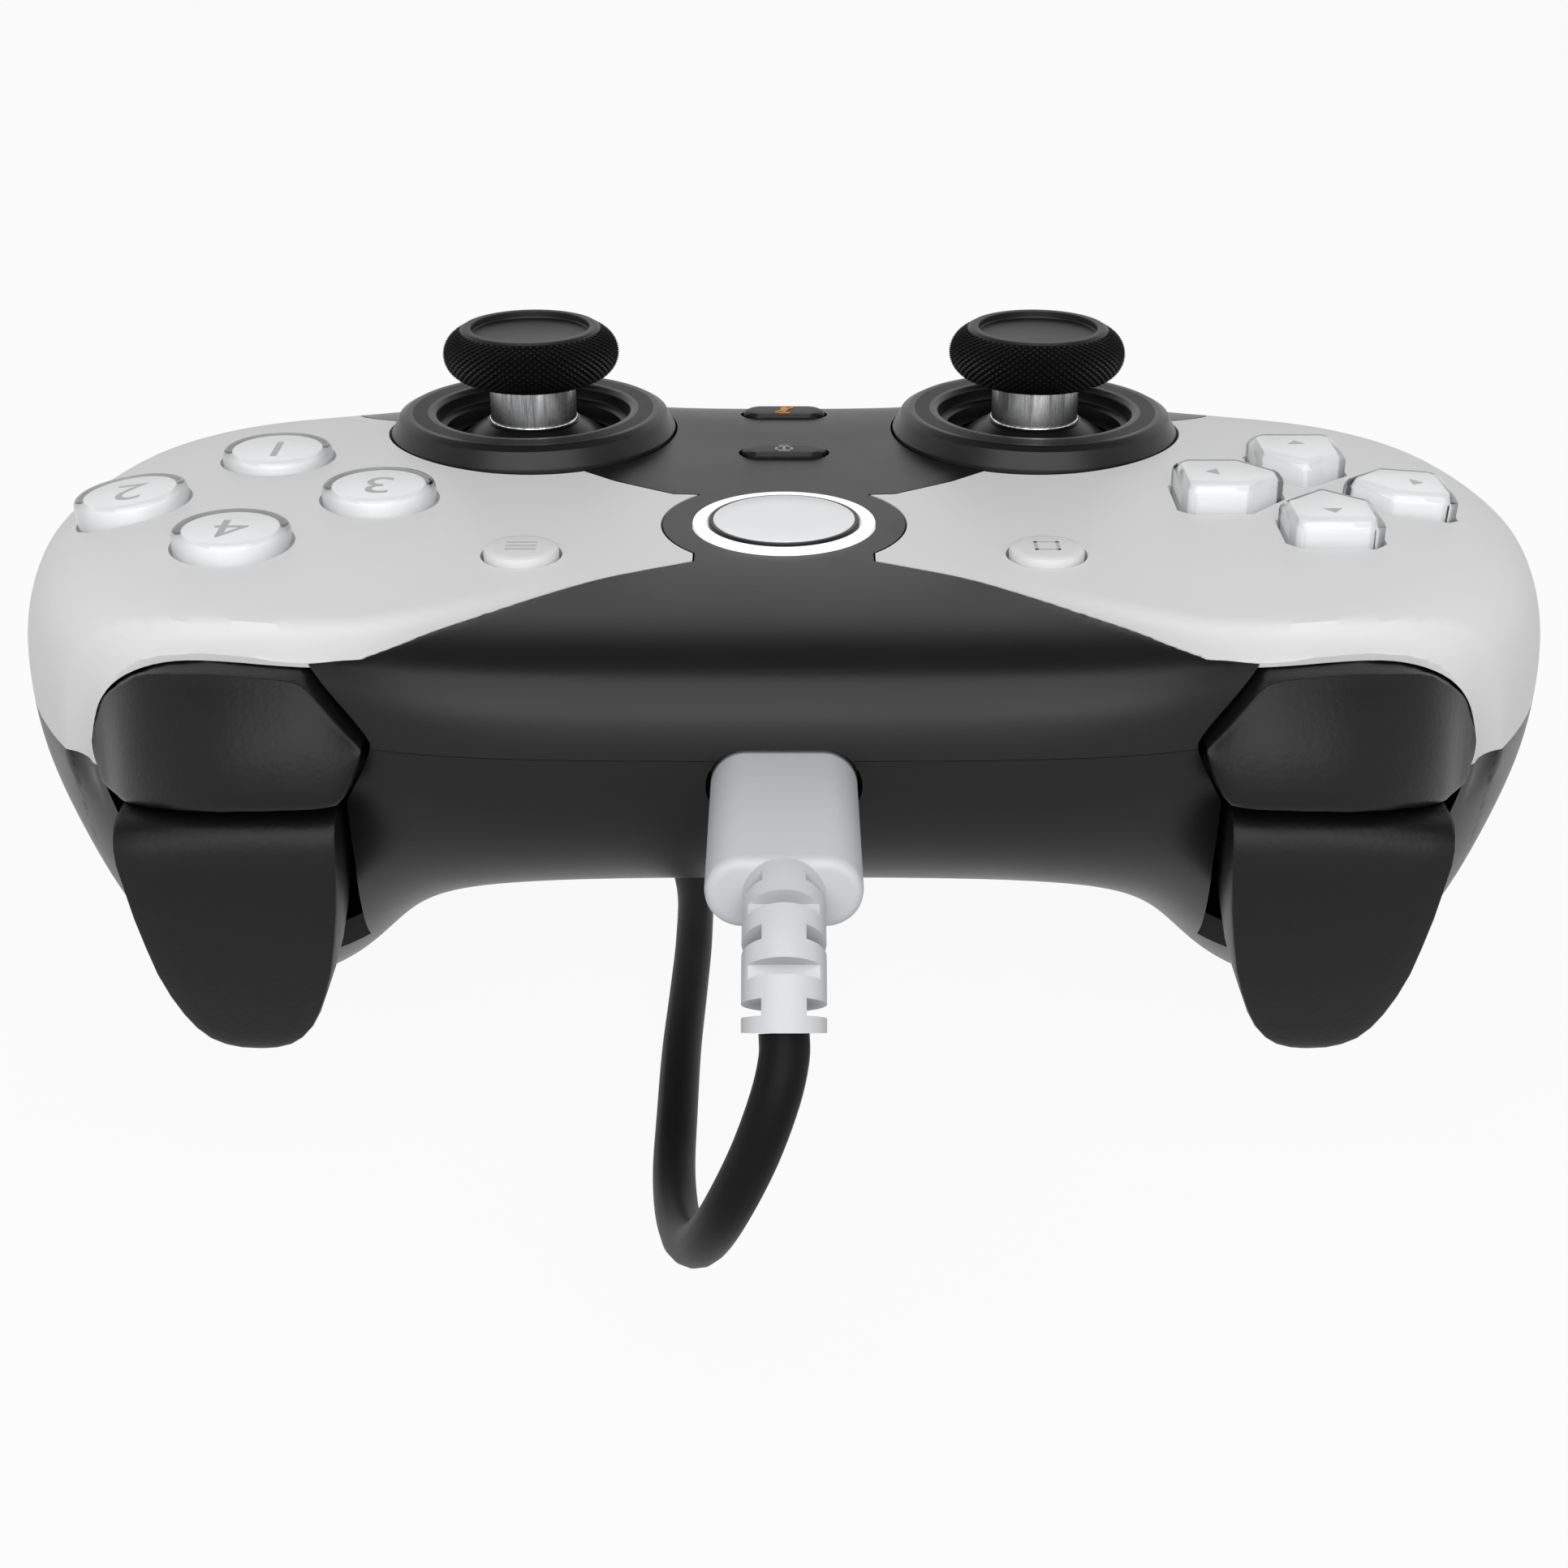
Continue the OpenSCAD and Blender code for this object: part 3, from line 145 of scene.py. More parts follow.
COIL_TURNS = 4.475
COIL_LAYERS = 4
COIL_IN = 13.6
COIL_PITCH = 4.5
COIL_LOW = 2.9
COIL_OUT = COIL_IN + COIL_TURNS * COIL_PITCH
COIL_N = COIL_TURNS * COIL_LAYERS
TAIL_N = 0.35
TAIL_OUT = 7.0
TAIL_END = 4.0
FAR_PLUG_H = 7.8


class GamepadSizes(bpy.types.PropertyGroup):
    """Sizes of the moulded pieces"""

    wall: FloatProperty(name="Wall", description="Wall of the shells", default=0.002, unit="LENGTH")
    seam: FloatProperty(
        name="Joint line", description="Open line between two shells", default=0.0002, unit="LENGTH")
    under_seam: FloatProperty(
        name="Lower joint line", description="Line between top and bottom", default=0.00005, unit="LENGTH")
    crease_depth: FloatProperty(
        name="Crease depth", description="Hollow of the band round a bumper", default=0.0006, unit="LENGTH")
    cap_radius: FloatProperty(
        name="Cap radius", description="Radius of a stick cap", default=0.0095, unit="LENGTH")
    knurl_count: IntProperty(name="Knurl", description="Diamonds round a stick cap", default=66)
    knurl_height: FloatProperty(
        name="Knurl height", description="Height of a diamond of the grip", default=0.00052, unit="LENGTH")
    button_radius: FloatProperty(
        name="Button radius", description="Radius of a face button", default=0.0057, unit="LENGTH")
    cord_diameter: FloatProperty(
        name="Cord diameter", description="Diameter of the cable", default=0.004, unit="LENGTH")


class GamepadColours(bpy.types.PropertyGroup):
    """Colours of the finishes, as sRGB hex values"""

    pale: StringProperty(name="Pale ABS", description="Wings and small pale buttons", default="#D8D8D9")
    cover: StringProperty(name="Black ABS", description="Centre cover and collars", default="#121213")
    under: StringProperty(name="Under shell", description="Bottom shell", default="#111112")
    trim: StringProperty(name="Shoulders", description="Bumpers and triggers", default="#111112")
    rubber: StringProperty(name="Rubber", description="Stick caps", default="#0D0D0E")
    jacket: StringProperty(name="Cord jacket", description="Jacket of the cable", default="#0A0A0B")
    overmould: StringProperty(name="Overmould", description="Plug body", default="#C6C7C9")
    amber: StringProperty(name="Amber print", description="Mark on the mute button", default="#D98A1E")


class GamepadStage(bpy.types.PropertyGroup):
    """Camera and lamps"""

    camera_at: FloatVectorProperty(
        name="Camera", description="Place of the camera", default=(0.0, -0.2525, 0.1346), subtype="XYZ")
    camera_pitch: FloatProperty(
        name="Camera pitch", description="Fall of the view below level", default=math.radians(25),
        subtype="ANGLE")
    lens: FloatProperty(
        name="Lens", description="Focal length on a 36 mm sensor", default=57.76, unit="CAMERA")
    key_power: FloatProperty(name="Overhead lamp", description="Power in watts", default=7.0)
    fill_power: FloatProperty(name="Front lamp", description="Power in watts", default=0.8)


# Points and outlines
def at(x, y, z):
    """Turns millimetres into a point in metres."""
    return Vector((x, y, z)) * MM


def ease(t):
    """Smooth step from 0 to 1."""
    t = min(max(t, 0.0), 1.0)
    return t * t * (3 - 2 * t)


def rounded(points, rounds=3):
    """Cuts the corners of an open line until it is smooth; its ends stay."""
    points = [Vector(p) for p in points]
    for _ in range(rounds):
        middle = []
        for a, b in zip(points, points[1:]):
            middle += [a.lerp(b, 0.25), a.lerp(b, 0.75)]
        points = [points[0], *middle[1:-1], points[-1]]
    return [tuple(p) for p in points]


def height_over(line, x):
    """Height of a line of points over a place along it."""
    for (x0, h0), (x1, h1) in zip(line, line[1:]):
        if x <= x1:
            return h0 + (h1 - h0) * (x - x0) / (x1 - x0)
    return line[-1][1]


def circle(radius, steps, x=0.0, y=0.0):
    """Points of a circle."""
    turns = [2 * math.pi * i / steps for i in range(steps)]
    return [(x + radius * math.cos(a), y + radius * math.sin(a)) for a in turns]


def pill(width, depth, steps=24):
    """Outline of a bar with round ends."""
    points = []
    for i in range(steps):
        a = 2 * math.pi * (i + 0.5) / steps
        side = 1 if math.cos(a) > 0 else -1
        points.append((side * (width - depth) / 2 + depth / 2 * math.cos(a), depth / 2 * math.sin(a)))
    return points


def grown(outline, by):
    """Moves each side of a closed outline outwards."""
    area = sum(a[0] * b[1] - b[0] * a[1] for a, b in zip(outline, outline[1:] + outline[:1]))
    by = by if area > 0 else -by
    moved = []
    for i, point in enumerate(outline):
        before = (Vector(point) - Vector(outline[i - 1])).normalized()
        after = (Vector(outline[(i + 1) % len(outline)]) - Vector(point)).normalized()
        normal = Vector((before.y + after.y, -before.x - after.x)).normalized()
        reach = by / max(normal.dot(Vector((before.y, -before.x))), 0.3)
        moved.append((point[0] + normal.x * reach, point[1] + normal.y * reach))
    return moved


# Mesh work
def begin():
    """Leaves edit mode and deselects everything, so that an operator acts on the new mesh alone."""
    if bpy.context.mode != "OBJECT":
        bpy.ops.object.mode_set(mode="OBJECT")
    bpy.ops.object.select_all(action="DESELECT")


def named(name):
    """Gives the newly added object its name."""
    piece = bpy.context.object
    piece.name = name
    piece.data.name = name
    return piece


def pick(piece):
    """Makes one object the selected and active one."""
    begin()
    piece.select_set(True)
    bpy.context.view_layer.objects.active = piece


def leave():
    """Goes back to object mode."""
    bpy.ops.object.mode_set(mode="OBJECT")


def edit(piece):
    """Opens a mesh in edit mode with all of it selected."""
    pick(piece)
    bpy.ops.object.mode_set(mode="EDIT")
    bpy.ops.mesh.select_all(action="SELECT")


def weld(piece):
    """Merges doubles, closes open ends and turns the faces outwards."""
    edit(piece)
    bpy.ops.mesh.remove_doubles(threshold=1e-7)
    bpy.ops.mesh.fill_holes(sides=0)
    bpy.ops.mesh.normals_make_consistent(inside=False)
    leave()
    return piece


def modify(piece, kind, **settings):
    """Adds a modifier with its settings and applies it."""
    pick(piece)
    modifier = piece.modifiers.new(kind.title(), kind)
    for name, value in settings.items():
        setattr(modifier, name, value)
    bpy.ops.object.modifier_apply(modifier=modifier.name)
    return piece


def cut(piece, cutter, operation="DIFFERENCE"):
    """Cuts a piece with another, which is used up."""
    modify(piece, "BOOLEAN", object=cutter, operation=operation, solver="EXACT")
    bpy.data.objects.remove(cutter, do_unlink=True)
    return piece


def copied(piece, name):
    """Copies a piece with a mesh of its own."""
    pick(piece)
    bpy.ops.object.duplicate(linked=False)
    return named(name)


def joined(name, *pieces):
    """Joins pieces into one mesh."""
    begin()
    for piece in pieces:
        piece.select_set(True)
    bpy.context.view_layer.objects.active = pieces[0]
    bpy.ops.object.join()
    return named(name)


def moved(piece, matrix):
    """Puts a piece in its place and bakes that place into its mesh."""
    piece.data.transform(matrix)
    if matrix.determinant() < 0:
        edit(piece)
        bpy.ops.mesh.flip_normals()
        leave()
    return piece


def mirrored(piece, name):
    """Copies a piece to the other side."""
    return moved(copied(piece, name), Matrix.Diagonal((-1, 1, 1, 1)))


def loft(name, rings):
    """Rolls a grid into a closed skin over rings of points, which are in millimetres."""
    begin()
    rows, columns = len(rings), len(rings[0]) + 1
    bpy.ops.mesh.primitive_grid_add(x_subdivisions=columns - 1, y_subdivisions=rows - 1)
    piece = named(name)
    for row, ring in enumerate(rings):
        for column in range(columns):
            piece.data.vertices[row * columns + column].co = at(*ring[column % len(ring)])
    return weld(piece)


def lathe(name, profile, x=0.0, y=0.0, z=0.0, steps=72):
    """Spins a closed profile of radius and height round an upright axis."""
    begin()
    bpy.ops.mesh.primitive_circle_add(vertices=len(profile), fill_type="NOTHING")
    piece = named(name)
    for vertex, (radius, height) in zip(piece.data.vertices, profile):
        vertex.co = at(x + radius, y, z + height)
    edit(piece)
    bpy.ops.mesh.spin(steps=steps, angle=2 * math.pi, center=at(x, y, z), axis=(0, 0, 1))
    return weld(piece)


def plate(name, outline, low, high):
    """Extrudes an outline in plan between two heights."""
    begin()
    bpy.ops.mesh.primitive_circle_add(vertices=len(outline), fill_type="NGON")
    piece = named(name)
    for vertex, (x, y) in zip(piece.data.vertices, outline):
        vertex.co = at(x, y, low)
    edit(piece)
    bpy.ops.mesh.extrude_region_move(TRANSFORM_OT_translate={"value": (0, 0, (high - low) * MM)})
    bpy.ops.mesh.select_all(action="SELECT")
    bpy.ops.mesh.normals_make_consistent(inside=False)
    leave()
    return piece


def front_plate(name, outline, front, back):
    """Extrudes an outline that is seen from the front, between two depths."""
    turn = Matrix(((1, 0, 0, 0), (0, 0, -1, 0), (0, 1, 0, 0), (0, 0, 0, 1)))
    return moved(plate(name, outline, -back, -front), turn)


def smooth(piece, degrees=35):
    """Shades a piece smooth except across sharp edges."""
    pick(piece)
    bpy.ops.object.shade_smooth_by_angle(angle=math.radians(degrees))
    return piece


def finish_piece(piece, make, slot, body, *nodes):
    """Gives a finished piece its material, its body and the solids that it stands for. The slot is not used.
    """
    piece.data.materials.clear()
    piece.data.materials.append(finish(make))
    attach(piece, body)
    if nodes:
        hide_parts(*nodes)
    return piece


# Materials
def linear(colour):
    """Turns an sRGB hex colour into the linear values that a shader takes."""
    channels = [int(colour[i:i + 2], 16) / 255 for i in (1, 3, 5)]
    return [c / 12.92 if c <= 0.04045 else ((c + 0.055) / 1.055) ** 2.4 for c in channels] + [1.0]


def add(tree, kind, settings=None, inputs=None):
    """Adds a node: settings are its options, inputs are values or the sockets that feed it."""
    node = tree.nodes.new(kind)
    for name, value in (settings or {}).items():
        setattr(node, name, value)
    for name, value in (inputs or {}).items():
        if isinstance(value, bpy.types.NodeSocket):
            tree.links.new(value, node.inputs[name])
        else:
            node.inputs[name].default_value = value
    return node


def shader_of(name, sockets):
    """Makes a material with one Principled shader and sets the shader's own sockets."""
    material = bpy.data.materials.new(name)
    material.use_nodes = True
    tree = material.node_tree
    shader = tree.nodes["Principled BSDF"]
    for socket, value in sockets.items():
        shader.inputs[socket].default_value = value
    coords = add(tree, "ShaderNodeTexCoord").outputs["Object"]
    return material, tree, shader, coords


def noise(tree, coords, size, detail, roughness=0.5):
    """Adds a noise whose patches have a given size in millimetres."""
    inputs = {"Vector": coords, "Scale": 1 / (size * MM), "Detail": detail, "Roughness": roughness}
    return add(tree, "ShaderNodeTexNoise", None, inputs).outputs["Fac"]


def ranged(tree, value, low, high, to_low=0.0, to_high=1.0, shape="LINEAR"):
    """Maps a range of a value to another range."""
    inputs = {"Value": value, "From Min": low, "From Max": high, "To Min": to_low, "To Max": to_high}
    return add(tree, "ShaderNodeMapRange", {"interpolation_type": shape}, inputs).outputs["Result"]


def combined(tree, operation, first, second=0.5):
    """Works out one value from two."""
    return add(tree, "ShaderNodeMath", {"operation": operation}, {0: first, 1: second}).outputs[0]


def mix_colours(tree, share, first, second):
    """Mixes two colours."""
    return add(tree, "ShaderNodeMix", {"data_type": "RGBA"}, {0: share, 6: first, 7: second}).outputs[2]


def mix_values(tree, share, first, second):
    """Mixes two values."""
    return add(tree, "ShaderNodeMix", {"data_type": "FLOAT"}, {0: share, 2: first, 3: second}).outputs[0]


def show_mix(tree, share, first, second):
    """Mixes two shaders and shows the mix on the surface."""
    mix = add(tree, "ShaderNodeMixShader", None, {0: share, 1: first, 2: second})
    tree.links.new(mix.outputs[0], tree.nodes["Material Output"].inputs["Surface"])


def shade_colour(tree, shader, coords, colour, spread, size):
    """Lets the colour drift a little over patches of a given size in millimetres."""
    patches = noise(tree, coords, size, 3.0)
    base = linear(colour)
    dark = [c * (1 - spread) for c in base[:3]] + [1.0]
    light = [min(c * (1 + spread), 1.0) for c in base[:3]] + [1.0]
    tree.links.new(mix_colours(tree, patches, dark, light), shader.inputs["Base Color"])
    return patches


def raise_bump(tree, shader, height, depth, strength=1.0):
    """Raises a pattern on the surface by a depth in millimetres."""
    inputs = {"Height": height, "Distance": depth * MM, "Strength": strength}
    bump = add(tree, "ShaderNodeBump", None, inputs)
    tree.links.new(bump.outputs["Normal"], shader.inputs["Normal"])
    return bump


def grain(tree, shader, coords, size, depth):
    """Raises a fine moulded grain of a given size and depth in millimetres."""
    raise_bump(tree, shader, noise(tree, coords, size, 2.0), depth)


def moulded(name, colour, roughness, size, depth, spread=0.03, shine=0.5):
    """Moulded plastic with a spark-eroded grain and slightly uneven gloss."""
    material, tree, shader, coords = shader_of(
        name, {"IOR": 1.5, "Base Color": linear(colour), "Specular IOR Level": shine})
    patch_size, uneven = 14, 0.03
    patches = shade_colour(tree, shader, coords, colour, spread, patch_size)
    gloss = ranged(tree, patches, 0.3, 0.7, roughness - uneven, roughness + uneven)
    tree.links.new(gloss, shader.inputs["Roughness"])
    grain(tree, shader, coords, size, depth)
    return material


def pale_abs():
    # Light grey moulded ABS: satin, even, with a grain that only breaks the highlight
    return moulded("satin_light_grey_abs", colours().pale, 0.46, 0.35, 0.008, 0.015)


def black_abs():
    # Black moulded ABS: satin with soft broad reflections
    return moulded("satin_black_abs", colours().cover, 0.34, 0.3, 0.007, shine=0.27)


def collar_abs():
    # Deep black moulded ABS round the sticks: dark sides under a satin top
    return moulded("satin_deep_black_abs", "#141415", 0.34, 0.3, 0.007, shine=0.3)


def stippled_abs():
    # Black ABS with a coarse spark-eroded stipple on the collars' flat ring: dull grey sparkle
    return moulded("stippled_black_abs", colours().cover, 0.5, 0.22, 0.06, shine=0.3)


def leather_grain_abs():
    # Black ABS from a leather-grained mould: fine pebbles that dull the gloss of bumpers and triggers
    return moulded("grained_black_abs", colours().trim, 0.4, 0.55, 0.03, shine=0.22)


def checkered_abs():
    # Black ABS whose flanks carry a fine raised checker for the fingers, drawn at 1.1 mm so that it shows
    material = moulded("checkered_black_abs", colours().under, 0.36, 0.3, 0.006, shine=0.25)
    tree = material.node_tree
    shader = tree.nodes["Principled BSDF"]
    coords = add(tree, "ShaderNodeTexCoord").outputs["Object"]
    place = add(tree, "ShaderNodeSeparateXYZ", None, {"Vector": coords})
    flank = combined(tree, "ABSOLUTE", place.outputs["X"])
    start, full, square = 67.6 * MM, 68.4 * MM, 1.1 * MM
    mask = ranged(tree, flank, start, full, shape="SMOOTHSTEP")
    flat = add(tree, "ShaderNodeMapping", None, {"Vector": coords, "Scale": (0, 1, 1)})
    squares = add(tree, "ShaderNodeTexChecker", None,
                  {"Vector": flat.outputs[0], "Scale": 1 / square,
                   "Color1": (1, 1, 1, 1), "Color2": (0, 0, 0, 1)})
    relief = combined(tree, "MULTIPLY", squares.outputs["Fac"], mask)
    fine_grain = shader.inputs["Normal"].links[0].from_socket
    bump = raise_bump(tree, shader, relief, 0.12, 0.8)
    tree.links.new(fine_grain, bump.inputs["Normal"])
    return material


def rubber():
    # Moulded black rubber: deep black with a dull shine on the diamonds' facets
    return moulded("moulded_black_rubber", colours().rubber, 0.44, 0.25, 0.006, shine=0.35)


def clear_acrylic():
    # Clear polished acrylic: bends what lies behind it, has bright edges and lets light through to the core
    material, tree, shader, coords = shader_of("clear_acrylic", {
        "Base Color": linear("#FBFBFB"), "Transmission Weight": 1.0, "IOR": 1.49, "Roughness": 0.02})
    grain(tree, shader, coords, 2.5, 0.002)
    ray = add(tree, "ShaderNodeLightPath")
    light = combined(tree, "MAXIMUM", ray.outputs["Is Shadow Ray"], ray.outputs["Is Diffuse Ray"])
    clear = add(tree, "ShaderNodeBsdfTransparent", None, {"Color": (0.95, 0.95, 0.95, 1)})
    show_mix(tree, light, shader.outputs[0], clear.outputs[0])
    return material


def white_plastic():
    # White polycarbonate under the clear caps: even and slightly glossy
    return moulded("white_polycarbonate", "#ECEDEE", 0.35, 0.5, 0.004, 0.01)


def light_guide():
    # Milky acrylic light guide: glossy white that glows a little inside
    material, tree, shader, coords = shader_of("milky_acrylic", {
        "Base Color": linear("#F3F4F5"), "Roughness": 0.22, "IOR": 1.49, "Subsurface Weight": 0.2,
        "Subsurface Radius": (0.001, 0.001, 0.001), "Emission Color": (1, 1, 1, 1),
        "Emission Strength": 0.45})
    grain(tree, shader, coords, 1.5, 0.004)
    return material


def printed(name, colour):
    """Flat printing ink on a moulded surface."""
    return moulded(name, colour, 0.5, 0.2, 0.003, 0.04)


def grey_print():
    # Grey ink under the clear caps
    return printed("grey_ink", "#9A9B9D")


def amber_print():
    # Amber ink of the mute mark
    return printed("amber_ink", colours().amber)


def painted_engraving_shade():
    # Painted shade of an engraving on the pale buttons: flat grey bars stand for the shadowed grooves
    return printed("painted_engraving_shade", "#B4B5B7")


def brushed_steel():
    # Stainless steel tube, brushed along its height: bright, with fine dark and light upright streaks
    material, tree, shader, coords = shader_of("brushed_stainless_steel", {"Metallic": 1.0})
    drawn = add(tree, "ShaderNodeMapping", None, {"Vector": coords, "Scale": (1, 1, 0.05)})
    streaks = noise(tree, drawn.outputs[0], 0.4, 4.0, 0.7)
    tone = ranged(tree, streaks, 0.35, 0.62)
    metal = mix_colours(tree, tone, linear("#8A8B8D"), linear("#FAFAFB"))
    tree.links.new(metal, shader.inputs["Base Color"])
    tree.links.new(ranged(tree, streaks, 0.3, 0.7, 0.38, 0.2), shader.inputs["Roughness"])
    raise_bump(tree, shader, streaks, 0.012, 0.5)
    return material


def cord_jacket():
    # Extruded black PVC: near matt, so that the cable stays dark on its lit side
    return moulded("extruded_black_pvc", colours().jacket, 0.5, 0.8, 0.006, shine=0.12)


def overmould():
    # Light grey TPE overmould on the plug: satin and even
    return moulded("light_grey_tpe", colours().overmould, 0.5, 0.3, 0.008, 0.015)


def hook_tape():
    # Woven hook tape of the cable tie: matt, with a fine weave of 0.5 mm
    material, tree, shader, coords = shader_of(
        "woven_hook_tape", {"Base Color": linear("#2B2B2D"), "Roughness": 0.85})
    weave = add(tree, "ShaderNodeTexChecker", None, {"Vector": coords, "Scale": 1 / (0.5 * MM)})
    raise_bump(tree, shader, weave.outputs["Fac"], 0.08)
    shade_colour(tree, shader, coords, "#2B2B2D", 0.15, 2)
    return material


def board_laminate():
    # Glass-fibre board under green solder mask: glossy, with a faint weave
    return moulded("green_fr4_board", "#1E5B38", 0.3, 0.8, 0.01, 0.1)


def grey_nylon():
    # Natural grey nylon of the switches and stick modules: waxy
    return moulded("grey_nylon", "#8C8D8F", 0.45, 0.6, 0.01)


def silicone():
    # Translucent grey silicone of the button mats: soft and dull
    material = moulded("grey_silicone", "#B9BABC", 0.55, 0.5, 0.006)
    material.node_tree.nodes["Principled BSDF"].inputs["Subsurface Weight"].default_value = 0.15
    return material


def sizes():
    """Sizes that the user may change."""
    return bpy.context.scene.gamepad_sizes


def colours():
    """Colours that the user may change."""
    return bpy.context.scene.gamepad_colours


finishes = {}


def finish(make):
    """Makes each material once."""
    if make.__name__ not in finishes:
        finishes[make.__name__] = make()
    return finishes[make.__name__]


class GAMEPAD_OT_camera(bpy.types.Operator):
    """Places the camera at the photograph's viewing angle"""

    bl_idname = "gamepad.camera"
    bl_label = "Camera"

    def execute(self, context):
        stage = context.scene.gamepad_stage
        begin()
        turn = (math.pi / 2 - stage.camera_pitch, 0, 0)
        bpy.ops.object.camera_add(location=stage.camera_at, rotation=turn)
        camera = context.object
        camera.name = "camera"
        camera.data.sensor_width = 36
        camera.data.lens = stage.lens
        camera.data.clip_start = 0.01
        context.scene.camera = camera
        return {"FINISHED"}


def coil_point(n):
    """Point of the coil after n turns: layers wind out and in, then the tail leaves along x."""
    layer = min(math.floor(n / COIL_TURNS), COIL_LAYERS - 1)
    part = min(n / COIL_TURNS - layer, 1)
    inward = part if layer % 2 == 0 else 1 - part
    radius = COIL_OUT + (COIL_IN - COIL_OUT) * inward + TAIL_OUT * ease(2 * (n - COIL_N) / TAIL_N)
    climbs = sum(ease((n - k * COIL_TURNS) * 2 + 0.5) for k in range(1, COIL_LAYERS))
    drop = FAR_PLUG_H / 2 - COIL_LOW - (COIL_LAYERS - 1) * COIL_PITCH
    drop_start = 0.25
    fall = drop * ease(((n - COIL_N) / TAIL_N - drop_start) / (1 - drop_start))
    a = math.pi - 2 * math.pi * n
    return (COIL_AT[0] + radius * math.cos(a), COIL_AT[1] + radius * math.sin(a),
            COIL_LOW + COIL_PITCH * climbs + fall)


def smooth_route(points, parts):
    """Adds points between those of a route, on one smooth curve through all of them."""
    points = [Vector(p) for p in points]
    route = []
    for i in range(len(points) - 1):
        a, b = points[max(i - 1, 0)], points[i]
        c, d = points[i + 1], points[min(i + 2, len(points) - 1)]
        for k in range(parts):
            t = k / parts
            route.append(0.5 * (2 * b + (c - a) * t + (2 * a - 5 * b + 4 * c - d) * t ** 2
                                + (3 * b - a - 3 * c + d) * t ** 3))
    return route + [points[-1]]


